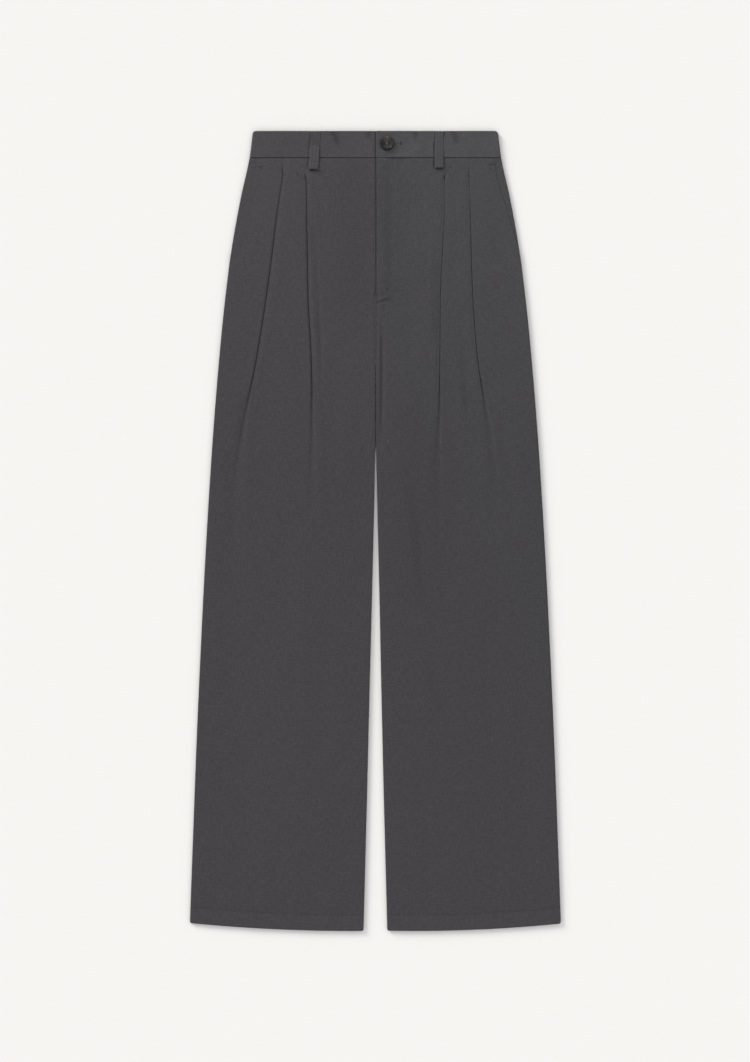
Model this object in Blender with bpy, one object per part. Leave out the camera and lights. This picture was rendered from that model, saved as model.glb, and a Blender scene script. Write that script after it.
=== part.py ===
"""Pleated chino trousers lying flat on a surface, front side up.

The waist points to +Y and the hems to -Y.  The wearer's right leg is on the -X side.
Z is the height above the surface.  Every cloth piece is a thin wall: a centreline is drawn
across the garment at a number of heights, given a thickness on both sides, and lofted.
Distances across a piece are measured from the centre front, and called u.
"""
import math

import bmesh
import bpy

MM = 0.001

# ---------------------------------------------------------------- driving sizes
WAIST_TOP = 0.540            # top edge of the waistband
HEM = -0.540                 # lowest point of both hems
BAND_DEPTH = 0.036           # waistband, top edge to seam
WAIST_SEAM = WAIST_TOP - BAND_DEPTH
FLY_LENGTH = 0.190           # waist seam to the bottom of the fly opening
CROTCH = 0.235               # where the two leg tubes part
LEG_FOLD_LENGTH = 0.030      # stretch below the crotch over which the inner edges fold round
HEM_DEPTH = 0.023            # turned-up hem

CLOTH = 1.0 * MM             # one layer of twill
BAND_CLOTH = 1.6 * MM        # waistband, two layers and its interlining
LOOP_CLOTH = 1.2 * MM        # belt loop, folded strip
ZIP_CLOTH = 0.8 * MM         # zip tape and chain
SEAM_GAP = 0.3 * MM          # clearance that neighbouring pieces keep
EDGE_TAPER = 0.6             # thickness at a folded edge's very end, as a share

# Side fold: half of the garment's width at each height.
SIDE = [
    # height, half width
    (-0.540, 0.2506),
    (-0.309, 0.2425),
    (-0.093, 0.2327),
    (0.096, 0.2217),
    (0.258, 0.2087),
    (0.366, 0.1964),
    (0.447, 0.1824),
    (0.504, 0.1700),
    (0.540, 0.1655),
]

# Inner edge of the legs: half of the space between them, and where its middle runs.
LEG_SPACE = [
    # height, half space, middle
    (-0.540, 16.2 * MM, 0.0),
    (-0.363, 11.4 * MM, 0.0),
    (-0.228, 8.2 * MM, 0.0),
    (-0.093, 5.0 * MM, 0.0),
    (0.042, 1.0 * MM, 0.0),
    (0.114, 0.3 * MM, -0.4 * MM),
    (0.180, 0.25 * MM, -0.9 * MM),
    (0.258, 0.15 * MM, 0.3 * MM),
    (0.540, 0.15 * MM, 0.5 * MM),
]

# Height of the front cloth's middle above the surface.
FRONT_LEVEL = [
    # height, level
    (-0.540, 4.2 * MM),
    (-0.200, 4.3 * MM),
    (0.100, 4.6 * MM),
    (0.300, 4.9 * MM),
    (0.434, 5.0 * MM),
    (0.504, 5.3 * MM),
]
BACK_LEVEL = CLOTH / 2       # the back lies on the surface
BAND_BACK_LEVEL = LOOP_CLOTH + SEAM_GAP + BAND_CLOTH / 2
BACK_RISE = 0.070            # stretch over which the back climbs onto its belt loops
BAND_FRONT_LEVEL = 5.5 * MM
MEETING_SHARE = 0.30         # side seams lie this far up between back and front
BAND_MEETING_SHARE = 0.34
SHOULDER = 0.5 * MM          # how much the front sinks towards a fold
SHOULDER_WIDTH = 14 * MM

# Pleats: fold edge of each, measured from the centre front.  The edges point to the side seams.
PLEATS = {
    "right": [
        # height, fold edge
        [(0.000, 0.0835), (0.123, 0.0842), (0.169, 0.0857), (0.251, 0.0883), (0.313, 0.0917),
         (0.362, 0.0926), (0.504, 0.0945)],
        [(0.000, 0.1860), (0.069, 0.1840), (0.128, 0.1780), (0.184, 0.1690), (0.273, 0.1536),
         (0.362, 0.1412), (0.419, 0.1346), (0.504, 0.1226)],
    ],
    "left": [
        [(0.000, 0.0820), (0.113, 0.0833), (0.157, 0.0861), (0.244, 0.0879), (0.321, 0.0887),
         (0.389, 0.0913), (0.504, 0.0930)],
        [(0.000, 0.1600), (0.069, 0.1590), (0.123, 0.1547), (0.180, 0.1463), (0.228, 0.1392),
         (0.278, 0.1345), (0.350, 0.1305), (0.474, 0.1265), (0.504, 0.1236)],
    ],
}

# How a pleat opens on its way down: from a closed S-fold to a soft step that dies out.
PLEAT_OPENING = [
    # height, hidden underlay, fold angle in degrees, length of each bend
    (0.000, 0.2 * MM, 1.0, 10.0 * MM),
    (0.069, 0.2 * MM, 10.0, 8.0 * MM),
    (0.123, 0.2 * MM, 30.0, 4.5 * MM),
    (0.165, 0.2 * MM, 60.0, 2.6 * MM),
    (0.205, 0.3 * MM, 130.0, 1.95 * MM),
    (0.258, 3.0 * MM, 180.0, 2.04 * MM),
    (0.366, 9.0 * MM, 180.0, 2.04 * MM),
    (0.504, 10.0 * MM, 180.0, 2.04 * MM),
]
PLEAT_CREST_SHARE = 0.35     # share of a pleat's step that stands above the front's level
PLEAT_RUN_IN = 6 * MM        # slope that leads up to a pleat
PLEAT_PLATEAU = 2 * MM       # level cloth before the hidden inner bend
PLEAT_FOOT = 1.5 * MM        # low cloth just outside the fold edge
PLEAT_RUN_OUT = 8 * MM       # slope that leads out from under it

# Side pockets: how far the opening's edge lies in from the side fold.
POCKET_SET_BACK = [
    # height, distance
    (0.373, 0.0),
    (0.404, 4.0 * MM),
    (0.439, 8.0 * MM),
    (0.471, 11.5 * MM),
    (0.504, 10.0 * MM),
]
POCKET_END = POCKET_SET_BACK[0][0]
POCKET_CLOSE = 0.028         # stretch below the pocket where the front takes over the side fold
POCKET_TUCK = 10 * MM        # facing hidden under the front

# Fly: the left front laps over the right one.
FLY_LAP = 8 * MM
FLY_LEFT_LIFT = 0.8 * MM
FLY_RIGHT_SINK = 0.5 * MM
FLY_CLEAR = 1.5 * MM         # level cloth beyond the other front's edge
FLY_EASE = 12 * MM           # width over which lift and sink fade
FLY_END = WAIST_SEAM - FLY_LENGTH
FLY_LAP_START = 8 * MM       # height over which the lap widens from its bottom end
FLY_SETTLE = 14 * MM         # height below the lap over which lift and sink fade
ZIP_SPAN = (-10 * MM, 16 * MM)
ZIP_BOTTOM = FLY_END + 10 * MM
ZIP_TOP = WAIST_SEAM - 3 * MM

# Waistband closure.
UNDERLAP = 30 * MM
BAND_LEFT_LIFT = 0.6 * MM
BAND_UNDERLAP_SINK = 1.3 * MM
BAND_CLEAR = 2 * MM          # level band beyond the other band's end
BAND_EASE = 14 * MM
BAND_CORNER = 4.5 * MM       # rounding of the band's upper corners
BAND_CORNER_SHARE = 0.8      # width of that rounding as a share of its height

# Hem: low point of each leg's hem line, measured from the centre, and its rise at the side.
HEM_LINE = {"right": (0.034, 10.7 * MM), "left": (0.0535, 10.0 * MM)}
HEM_CORNER = 2.0 * MM
HEM_FOLLOW = 0.150           # height above the hem over which the sag fades

# Belt loops: centre line at the top and bottom end, measured along X.
LOOP_WIDTH = 12.5 * MM
LOOP_DROP = 16.5 * MM        # how far a loop reaches below the waist seam
FRONT_LOOPS = {"right": (-81.6 * MM, -84.6 * MM), "left": (85.5 * MM, 85.5 * MM)}
BACK_LOOPS = {"right": -110 * MM, "centre": 0.0, "left": 110 * MM}
LOOP_ARCH = 0.8 * MM
LOOP_EDGE_DROP = 0.1 * MM    # how much the long edges sink
LOOP_END_FOLD = 0.9 * MM     # extra thickness of the folded lower end
LOOP_FOLD_SHARE = 0.165      # share of the length that is folded double
LOOP_STATIONS = (0.0, 0.03, 0.16, 0.17, 0.35, 0.55, 0.75, 0.92, 0.98, 1.0)
LOOP_CLIMB = (0.4, 0.9)      # shares between which a loop leaves the front and meets the band

# Button.
BUTTON_PLACE = (15.9 * MM, 524.2 * MM)
BUTTON_RADIUS = 9.6 * MM
BUTTON_HOLE_RADIUS = 0.9 * MM
BUTTON_HOLE_RING = 2.3 * MM
BUTTON_SIDES = 28
THREAD_HOLE_SIDES = 8
BUTTONHOLE_LENGTH = 18 * MM
BUTTONHOLE_WIDTH = 0.9 * MM
BUTTONHOLE_EYE = 1.6 * MM
BUTTON_PROFILE = [
    # share of the radius, height
    (0.66, 0.0 * MM),
    (0.95, 0.8 * MM),
    (1.00, 1.7 * MM),
    (0.95, 2.7 * MM),
    (0.86, 3.1 * MM),
    (0.76, 2.9 * MM),
    (0.66, 2.2 * MM),
]

# Colours of the finished pieces (linear RGB), roughness.
CHARCOAL = ((0.061, 0.061, 0.065), 0.92)
HORN = ((0.022, 0.018, 0.016), 0.35)

SIGN = {"right": -1.0, "left": 1.0}


# ---------------------------------------------------------------- small helpers
def read(table, at, column=1):
    """Smooth value of a table's column; the rows run up the first column."""
    if at <= table[0][0]:
        return table[0][column]
    if at >= table[-1][0]:
        return table[-1][column]
    slopes = [
        (after[column] - before[column]) / (after[0] - before[0])
        for before, after in zip(table, table[1:])
    ]
    row = max(i for i in range(len(slopes)) if table[i][0] <= at)
    start, end = table[row], table[row + 1]
    span = end[0] - start[0]

    def tangent(i):
        if i in (0, len(table) - 1):
            return slopes[min(i, len(slopes) - 1)]
        low, high = slopes[i - 1], slopes[i]
        return 0.0 if low * high <= 0 else 2 * low * high / (low + high)

    t = (at - start[0]) / span
    return (
        (2 * t**3 - 3 * t**2 + 1) * start[column]
        + (t**3 - 2 * t**2 + t) * span * tangent(row)
        + (3 * t**2 - 2 * t**3) * end[column]
        + (t**3 - t**2) * span * tangent(row + 1)
    )


def ease(value):
    """Smooth step from 0 to 1."""
    value = min(max(value, 0.0), 1.0)
    return value * value * (3 - 2 * value)


def make_material(name, look):
    colour, roughness = look
    material = bpy.data.materials.new(name)
    material.use_nodes = True
    shader = material.node_tree.nodes["Principled BSDF"]
    shader.inputs["Base Color"].default_value = (*colour, 1.0)
    shader.inputs["Roughness"].default_value = roughness
    return material


def make_object(name, mesh_data, material):
    """Turn a bmesh into a named object with outward faces."""
    bmesh.ops.recalc_face_normals(mesh_data, faces=mesh_data.faces)
    mesh = bpy.data.meshes.new(name)
    mesh_data.to_mesh(mesh)
    mesh_data.free()
    mesh.materials.append(material)
    piece = bpy.data.objects.new(name, mesh)
    bpy.context.collection.objects.link(piece)
    return piece


def wall_sides(path):
    """Upper and lower face of a wall; path holds (u, z, thickness above, thickness below)."""
    normals = []
    for (u0, z0, *_), (u1, z1, *_) in zip(path, path[1:]):
        length = math.hypot(u1 - u0, z1 - z0)
        normals.append(((z0 - z1) / length, (u1 - u0) / length))
    upper, lower = [], []
    for i, (u, z, above, below) in enumerate(path):
        first = normals[max(i - 1, 0)]
        second = normals[min(i, len(normals) - 1)]
        scale = 1 + first[0] * second[0] + first[1] * second[1]
        mitre = ((first[0] + second[0]) / scale, (first[1] + second[1]) / scale)
        upper.append((u + above * mitre[0], z + above * mitre[1]))
        lower.append((u - below * mitre[0], z - below * mitre[1]))
    return upper, lower


def loft_wall(name, sections, material, sign=1.0, height_at=None):
    """Loft a wall through sections, a list of (height, path) from one end to the other.

    height_at(height, u) bends a section's line along Y, for a curved hem.
    """
    mesh_data = bmesh.new()
    rings = []
    for height, path in sections:
        upper, lower = wall_sides(path)
        ring = upper + lower[::-1]
        rings.append([
            mesh_data.verts.new((sign * u, height_at(height, u) if height_at else height, z))
            for u, z in ring
        ])
    count = len(rings[0])
    for near, far in zip(rings, rings[1:]):
        for i in range(count):
            j = (i + 1) % count
            mesh_data.faces.new((near[i], near[j], far[j]))
            mesh_data.faces.new((near[i], far[j], far[i]))
    for ring in (rings[0], rings[-1]):
        for i in range(count // 2 - 1):
            mesh_data.faces.new((ring[i], ring[i + 1], ring[-2 - i], ring[-1 - i]))
    return make_object(name, mesh_data, material)


def cut(piece, cutter):
    """Subtract a closed cutter from a piece with a live modifier."""
    cutter.hide_render = True
    cutter.display_type = "WIRE"
    boolean = piece.modifiers.new("cut_" + cutter.name, "BOOLEAN")
    boolean.operation = "DIFFERENCE"
    boolean.solver = "EXACT"
    boolean.object = cutter


# ---------------------------------------------------------------- shared levels and edges
def front_level(height):
    return read(FRONT_LEVEL, height)


def back_level(height):
    climb = ease((height - (WAIST_SEAM - BACK_RISE)) / BACK_RISE)
    return BACK_LEVEL + (BAND_BACK_LEVEL - BACK_LEVEL) * climb


def meeting_level(height):
    low = back_level(height)
    return low + MEETING_SHARE * (front_level(height) - low)


def rounding(into, radius):
    """How far a round corner draws an edge in, at a distance into the corner."""
    into = min(max(into, 0.0), radius)
    return radius - math.sqrt(radius**2 - into**2)


def hem_rounding(height):
    return rounding(HEM + HEM_CORNER - height, HEM_CORNER)


def inner_edge(leg, height):
    """Where a leg's inner edge, or the centre seam above the crotch, lies."""
    middle = SIGN[leg] * read(LEG_SPACE, height, 2)
    return read(LEG_SPACE, height, 1) + middle + hem_rounding(height)


def side_edge(height):
    """Half width of the fronts and backs."""
    return read(SIDE, height) - hem_rounding(height)


def leg_fold(height):
    """0 above the crotch, 1 where the cloth is folded round into a leg tube."""
    return ease((CROTCH - height) / LEG_FOLD_LENGTH)


# Corners of the polygon round a quarter circle of radius 1, and their places on a flat edge.
CORNER = math.tan(math.radians(22.5))
QUARTER_TURN = [
    # across when turned, across when flat, height
    (0.0, 0.0, 0.0),
    (0.0, 0.3, CORNER),
    (1 - CORNER, 0.6, 1.0),
    (1.0, 1.0, 1.0),
]
FLAT_EDGE = 1.5 * MM         # width that the four points take on a flat edge


def curl(edge, inward, level, end_level, folded, thickness=CLOTH):
    """Four points of a cloth edge, from its very end inwards.

    folded 1 turns it through a quarter circle to end_level, folded 0 leaves it flat.
    """
    depth = folded * (level - end_level)
    reach = FLAT_EDGE + folded * (abs(level - end_level) - FLAT_EDGE)
    points = []
    for turned_share, flat_share, rise in QUARTER_TURN:
        across = flat_share + folded * (turned_share - flat_share)
        u = edge + inward * (folded * thickness / 2 + reach * across)
        points.append((u, level - depth * (1 - rise)))
    return points


# ---------------------------------------------------------------- pleats
def pleat_points(edge, height):
    """Centreline of one pleat and of the slopes on both sides, from the centre outwards."""
    level = front_level(height)
    underlay = read(PLEAT_OPENING, height, 1)
    angle = math.radians(read(PLEAT_OPENING, height, 2))
    bend = read(PLEAT_OPENING, height, 3)
    radius = bend / angle
    drop = 2 * radius * (1 - math.cos(angle)) + underlay * math.sin(angle)
    crest = level + PLEAT_CREST_SHARE * drop
    overhang = math.sin(min(angle, math.pi / 2))
    u = edge - (radius + CLOTH / 2) * overhang
    z = crest
    under_edge = u - underlay * max(-math.cos(angle), 0.0)
    points = [(under_edge - PLEAT_RUN_IN, level), (under_edge - PLEAT_PLATEAU, crest)]
    for share in (0.0, 0.5, 1.0):
        turn = angle * share
        points.append((u + radius * math.sin(turn), z - radius * (1 - math.cos(turn))))
    u += radius * math.sin(angle) + underlay * math.cos(angle)
    z -= radius * (1 - math.cos(angle)) + underlay * math.sin(angle)
    for share in (1.0, 0.5, 0.0):
        turn = angle * share
        points.append((
            u + radius * (math.sin(angle) - math.sin(turn)),
            z - radius * (math.cos(turn) - math.cos(angle)),
        ))
    tail = max(edge, points[-1][0])
    points.append((tail + PLEAT_FOOT, crest - drop))
    points.append((tail + PLEAT_RUN_OUT, level))
    return points


# ---------------------------------------------------------------- trouser fronts and backs
def fly_lap(height):
    """Width by which the right front reaches under the left one."""
    return FLY_LAP * min(max((height - FLY_END) / FLY_LAP_START, 0.0), 1.0)


def fly_step(height):
    """1 along the fly, where the fronts lie on each other, 0 below it."""
    return ease((height - (FLY_END - FLY_SETTLE)) / FLY_SETTLE)


def front_path(leg, height):
    """Centreline of a front piece at one height, from the centre to the side."""
    level = front_level(height)
    end_level = meeting_level(height) + SEAM_GAP / 2
    folded = leg_fold(height)
    edge = inner_edge(leg, height)
    shift = FLY_LEFT_LIFT if leg == "left" else -FLY_RIGHT_SINK
    shift *= fly_step(height)
    if leg == "right":
        edge -= fly_lap(height)
    near_level = level - SHOULDER * folded + shift
    near = curl(edge, 1, near_level, end_level, folded)
    covered = FLY_LAP if leg == "left" else 0.0
    near.append((max(covered, near[-1][0]) + FLY_CLEAR, near_level))
    near.append((near[-1][0] + FLY_EASE, level))
    middle = []
    for table in PLEATS[leg]:
        middle += pleat_points(read(table, height), height)
    turned = ease((POCKET_END - height) / POCKET_CLOSE)
    side = side_edge(height) - read(POCKET_SET_BACK, height)
    far = curl(side, -1, level - SHOULDER * turned, end_level, turned)
    far.append((side - SHOULDER_WIDTH, level))
    return near + middle + far[::-1]


def back_path(leg, height):
    level = back_level(height)
    end_level = meeting_level(height) - SEAM_GAP / 2
    near = curl(inner_edge(leg, height), 1, level, end_level, leg_fold(height))
    far = curl(side_edge(height), -1, level, end_level, 1.0)
    near.append((near[-1][0] + SHOULDER_WIDTH, level))
    far.append((far[-1][0] - SHOULDER_WIDTH, level))
    return near + far[::-1]


def hem_height(leg):
    """The hem line sags, and the lowest sections of a leg follow it."""
    low_point, rise = HEM_LINE[leg]
    half_width = SIDE[0][1]

    def height_at(height, u):
        follow = 1 - ease((height - (HEM + HEM_DEPTH)) / HEM_FOLLOW)
        return height + follow * rise * ((u - low_point) / (half_width - low_point)) ** 2

    return height_at


def with_thickness(path, height, hem_side, curled=4):
    """Add the wall's thickness; the hem's second layer lies on the inner side."""
    half = CLOTH / 2
    hem = CLOTH if height < HEM + HEM_DEPTH else 0.0
    if height <= HEM:
        half, hem = half * EDGE_TAPER, hem * EDGE_TAPER
    thick = []
    for i, (u, z) in enumerate(path):
        extra = hem if curled <= i < len(path) - curled else 0.0
        above = half + (extra if hem_side == "above" else 0.0)
        below = half + (extra if hem_side == "below" else 0.0)
        thick.append((u, z, above, below))
    return thick


HEM_STATIONS = [
    HEM, HEM + 0.3 * HEM_CORNER, HEM + HEM_CORNER,
    HEM + HEM_DEPTH - 0.1 * MM, HEM + HEM_DEPTH + 0.5 * MM,
]
FRONT_STATIONS = HEM_STATIONS + [
    -0.400, -0.220, -0.060, 0.042, 0.085, 0.123, 0.165, 0.185, 0.205, CROTCH, 0.258,
    FLY_END - FLY_SETTLE, FLY_END, FLY_END + FLY_LAP_START, POCKET_END - POCKET_CLOSE, POCKET_END,
    0.404, 0.439, 0.471, WAIST_SEAM - SEAM_GAP / 2,
]
BACK_STATIONS = HEM_STATIONS + [
    -0.400, -0.220, -0.060, 0.042, 0.114, 0.180, 0.205, 0.220, CROTCH, 0.285, 0.366, 0.434,
    0.458, 0.480, WAIST_SEAM - SEAM_GAP / 2,
]


def make_leg_piece(name, leg, path_at, stations, hem_side, material):
    sections = []
    for height in stations:
        sections.append((height, with_thickness(path_at(leg, height), height, hem_side)))
    return loft_wall(name, sections, material, SIGN[leg], hem_height(leg))


def make_pocket_facing(leg, material):
    """The piece that shows outside the slanted pocket edge and carries the side fold there."""
    stations = [height for height, _ in POCKET_SET_BACK[:-1]] + [WAIST_SEAM - SEAM_GAP / 2]
    sections = []
    for height in stations:
        level = front_level(height) - CLOTH - SEAM_GAP
        side = read(SIDE, height)
        far = curl(side, -1, level, meeting_level(height) + SEAM_GAP / 2, 1.0)
        tucked = side - read(POCKET_SET_BACK, height) - POCKET_TUCK
        path = [(tucked, level)] + far[::-1]
        sections.append((height, [(u, z, CLOTH / 2, CLOTH / 2) for u, z in path]))
    return loft_wall("pocket_facing_" + leg, sections, material, SIGN[leg])


def make_zip(material):
    """Closed zip, one plain strip that follows the underside of the right front."""
    sections = []
    for share in (0.0, 0.33, 0.67, 1.0):
        height = ZIP_BOTTOM + share * (ZIP_TOP - ZIP_BOTTOM)
        level = front_level(height) - FLY_RIGHT_SINK - CLOTH / 2 - SEAM_GAP - ZIP_CLOTH / 2
        path = [(u, level, ZIP_CLOTH / 2, ZIP_CLOTH / 2) for u in ZIP_SPAN]
        sections.append((height, path))
    return loft_wall("fly_zip", sections, material)


# ---------------------------------------------------------------- waistband
def band_side(height):
    """Half width of the waistband, with its upper corner rounded."""
    into_corner = height - (WAIST_TOP - BAND_CORNER)
    return read(SIDE, height) - BAND_CORNER_SHARE * rounding(into_corner, BAND_CORNER)


def band_stations():
    return [
        WAIST_SEAM + SEAM_GAP / 2, WAIST_SEAM + 1.5 * MM, WAIST_TOP - BAND_CORNER,
        WAIST_TOP - 0.45 * BAND_CORNER, WAIST_TOP - 0.5 * MM, WAIST_TOP,
    ]


def band_section(path, height):
    half = BAND_CLOTH / 2 * (EDGE_TAPER if height >= WAIST_TOP else 1.0)
    return height, [(u, z, half, half) for u, z in path]


def band_meeting():
    return BAND_BACK_LEVEL + BAND_MEETING_SHARE * (BAND_FRONT_LEVEL - BAND_BACK_LEVEL)


def band_front_path(leg, height):
    level = BAND_FRONT_LEVEL
    centre = read(LEG_SPACE, WAIST_TOP, 2)
    if leg == "left":
        lifted = level + BAND_LEFT_LIFT
        clear = UNDERLAP + centre + BAND_CLEAR
        near = [(centre + SEAM_GAP / 2, lifted), (clear, lifted), (clear + BAND_EASE, level)]
    else:
        sunk = level - BAND_UNDERLAP_SINK
        near = [(-UNDERLAP - centre, sunk), (BAND_CLEAR / 2 - centre, sunk), (BAND_EASE, level)]
    side = band_side(height)
    far = curl(side, -1, level, band_meeting() + SEAM_GAP / 2, 1.0, BAND_CLOTH)
    return near + far[::-1]


def make_band_front(leg, material):
    sections = [band_section(band_front_path(leg, h), h) for h in band_stations()]
    return loft_wall("waistband_front_" + leg, sections, material, SIGN[leg])


def make_band_back(material):
    sections = []
    for height in band_stations():
        end_level = band_meeting() - SEAM_GAP / 2
        far = curl(band_side(height), -1, BAND_BACK_LEVEL, end_level, 1.0, BAND_CLOTH)
        near = [(-u, z) for u, z in far]
        sections.append(band_section(near + far[::-1], height))
    return loft_wall("waistband_back", sections, material)


# ---------------------------------------------------------------- belt loops
def top_of_front(leg, u_from, u_to, height):
    """Highest point of a front's outer face between two distances from the centre."""
    path = front_path(leg, height)
    inside = [z for u, z in path if u_from <= u <= u_to]
    return max(inside) + CLOTH / 2


def loop_path(middle, level, thickness, edge_drop):
    """Section across a belt loop, its long edges a little lower than its middle."""
    half = LOOP_WIDTH / 2
    return [
        (middle + share * half, level - (edge_drop if abs(share) == 1 else 0.0),
         thickness / 2, thickness / 2)
        for share in (-1, -0.85, 0.85, 1)
    ]


def make_front_loop(leg, material):
    top_x, bottom_x = FRONT_LOOPS[leg]
    top, bottom = WAIST_TOP - 0.5 * MM, WAIST_SEAM - LOOP_DROP
    reach = abs(bottom_x) + LOOP_WIDTH
    on_front = max(
        top_of_front(leg, abs(bottom_x) - LOOP_WIDTH, reach, height)
        for height in (bottom, WAIST_SEAM - SEAM_GAP)
    )
    on_band = BAND_FRONT_LEVEL + BAND_CLOTH / 2
    sections = []
    for share in LOOP_STATIONS:
        height = bottom + share * (top - bottom)
        climb = ease((share - LOOP_CLIMB[0]) / (LOOP_CLIMB[1] - LOOP_CLIMB[0]))
        resting = on_front + (on_band - on_front) * climb
        arch = LOOP_ARCH * math.sin(math.pi * share)
        cloth = LOOP_CLOTH + (LOOP_END_FOLD if share < LOOP_FOLD_SHARE else 0.0)
        thickness = cloth * (EDGE_TAPER if share in (0.0, 1.0) else 1.0)
        level = resting + SEAM_GAP + LOOP_EDGE_DROP + arch + cloth / 2
        middle = bottom_x + share * (top_x - bottom_x)
        sections.append((height, loop_path(middle, level, thickness, LOOP_EDGE_DROP)))
    return loft_wall("belt_loop_front_" + leg, sections, material)


def make_back_loop(place, material):
    top, bottom = WAIST_TOP - 0.5 * MM, WAIST_SEAM - LOOP_DROP + 1 * MM
    stations = ((bottom, EDGE_TAPER), (bottom + MM, 1.0), (top - MM, 1.0), (top, EDGE_TAPER))
    sections = [
        (height, loop_path(BACK_LOOPS[place], LOOP_CLOTH / 2, LOOP_CLOTH * share, 0.0))
        for height, share in stations
    ]
    return loft_wall("belt_loop_back_" + place, sections, material)


# ---------------------------------------------------------------- button and buttonhole
def make_cylinder(name, radius, low, high, place, sides):
    mesh_data = bmesh.new()
    bmesh.ops.create_cone(
        mesh_data, cap_ends=True, segments=sides, radius1=radius, radius2=radius, depth=high - low
    )
    bmesh.ops.translate(mesh_data, verts=mesh_data.verts, vec=(*place, (high + low) / 2))
    return make_object(name, mesh_data, None)


def make_button(material, rest_level):
    """Round four-hole button, turned about its own axis."""
    sides = BUTTON_SIDES
    mesh_data = bmesh.new()
    x, y = BUTTON_PLACE
    rings = []
    for share, height in BUTTON_PROFILE:
        radius = BUTTON_RADIUS * share
        rings.append([
            mesh_data.verts.new((
                x + radius * math.cos(2 * math.pi * i / sides),
                y + radius * math.sin(2 * math.pi * i / sides),
                rest_level + height,
            ))
            for i in range(sides)
        ])
    for low, high in zip(rings, rings[1:]):
        for i in range(sides):
            j = (i + 1) % sides
            mesh_data.faces.new((low[i], low[j], high[j], high[i]))
    mesh_data.faces.new(rings[0])
    mesh_data.faces.new(rings[-1])
    button = make_object("button", mesh_data, material)
    for number, turn in enumerate((45, 135, 225, 315)):
        angle = math.radians(turn)
        place = (x + BUTTON_HOLE_RING * math.cos(angle), y + BUTTON_HOLE_RING * math.sin(angle))
        hole = make_cylinder(
            f"thread_hole_{number}", BUTTON_HOLE_RADIUS, rest_level - MM, rest_level + 5 * MM,
            place, THREAD_HOLE_SIDES,
        )
        cut(button, hole)
    button.data.shade_smooth()
    button.data.set_sharp_from_angle(angle=math.radians(40))
    return button


def cut_buttonhole(band):
    """A keyhole slit: round eye under the button, straight tail towards the side."""
    x, y = BUTTON_PLACE
    low, high = BAND_FRONT_LEVEL - 1 * MM, BAND_FRONT_LEVEL + 3 * MM
    half = BUTTONHOLE_WIDTH / 2
    outline = []
    start = math.asin(half / BUTTONHOLE_EYE)
    steps = 8
    for step in range(steps + 1):
        angle = start + (2 * math.pi - 2 * start) * step / steps
        outline.append((x + BUTTONHOLE_EYE * math.cos(angle), y + BUTTONHOLE_EYE * math.sin(angle)))
    outline += [(x + BUTTONHOLE_LENGTH, y - half), (x + BUTTONHOLE_LENGTH, y + half)]
    mesh_data = bmesh.new()
    floor = [mesh_data.verts.new((px, py, low)) for px, py in outline]
    roof = [mesh_data.verts.new((px, py, high)) for px, py in outline]
    mesh_data.faces.new(floor)
    mesh_data.faces.new(roof)
    for i in range(len(outline)):
        j = (i + 1) % len(outline)
        mesh_data.faces.new((floor[i], floor[j], roof[j], roof[i]))
    cut(band, make_object("buttonhole", mesh_data, None))


# ---------------------------------------------------------------- build
def main():
    for thing in list(bpy.data.objects):
        bpy.data.objects.remove(thing, do_unlink=True)
    twill = make_material("twill", CHARCOAL)
    horn = make_material("horn", HORN)

    for leg in ("right", "left"):
        make_leg_piece("front_" + leg, leg, front_path, FRONT_STATIONS, "below", twill)
        make_leg_piece("back_" + leg, leg, back_path, BACK_STATIONS, "above", twill)
        make_pocket_facing(leg, twill)
        make_front_loop(leg, twill)
    make_zip(twill)

    make_band_front("right", twill)
    band_left = make_band_front("left", twill)
    cut_buttonhole(band_left)
    make_band_back(twill)
    for place in BACK_LOOPS:
        make_back_loop(place, twill)

    button_level = BAND_FRONT_LEVEL + BAND_LEFT_LIFT + BAND_CLOTH / 2 + SEAM_GAP
    make_button(horn, button_level)


main()
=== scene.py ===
# %% [markdown]
# # Pleated chino trousers, laid flat
#
# A pair of wide charcoal trousers lies on a pale floor, front side up.  The waist points to +Y,
# the hems to -Y, and +Z is up.  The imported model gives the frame: plain solids of every cut
# piece.  This lesson dresses them.  Each panel becomes a thin cloth shell with pleats and
# creases, and the seams get their stitches.  Another way would be to simulate a whole sewn
# garment, but pressed trousers lie in folds that their maker chose, so the folds are drawn.

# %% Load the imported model
import math

import bmesh
import bpy
import numpy as np
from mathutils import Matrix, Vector
from mathutils.bvhtree import BVHTree


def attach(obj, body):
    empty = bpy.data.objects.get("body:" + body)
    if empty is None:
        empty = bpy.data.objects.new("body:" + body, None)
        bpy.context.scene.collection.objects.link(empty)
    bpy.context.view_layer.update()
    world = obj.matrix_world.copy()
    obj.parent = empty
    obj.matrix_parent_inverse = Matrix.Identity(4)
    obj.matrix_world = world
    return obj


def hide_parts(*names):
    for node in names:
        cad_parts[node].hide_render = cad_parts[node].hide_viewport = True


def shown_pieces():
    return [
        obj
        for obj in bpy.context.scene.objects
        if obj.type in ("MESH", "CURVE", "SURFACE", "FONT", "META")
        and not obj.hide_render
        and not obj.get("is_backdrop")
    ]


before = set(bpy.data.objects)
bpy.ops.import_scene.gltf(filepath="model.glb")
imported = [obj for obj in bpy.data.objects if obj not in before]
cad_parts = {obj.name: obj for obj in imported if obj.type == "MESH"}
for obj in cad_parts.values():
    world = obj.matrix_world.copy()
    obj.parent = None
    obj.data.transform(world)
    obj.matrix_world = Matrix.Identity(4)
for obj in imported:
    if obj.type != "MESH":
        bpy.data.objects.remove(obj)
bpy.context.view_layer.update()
MM = 0.001
print("nodes:", ", ".join(sorted(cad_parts)))

# %% [markdown]
# ## Camera
# A flat garment is shown from straight above.  An orthographic camera would do that, but other
# views need a real lens, so a long lens from far away is used: it hardly shows perspective.

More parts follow.
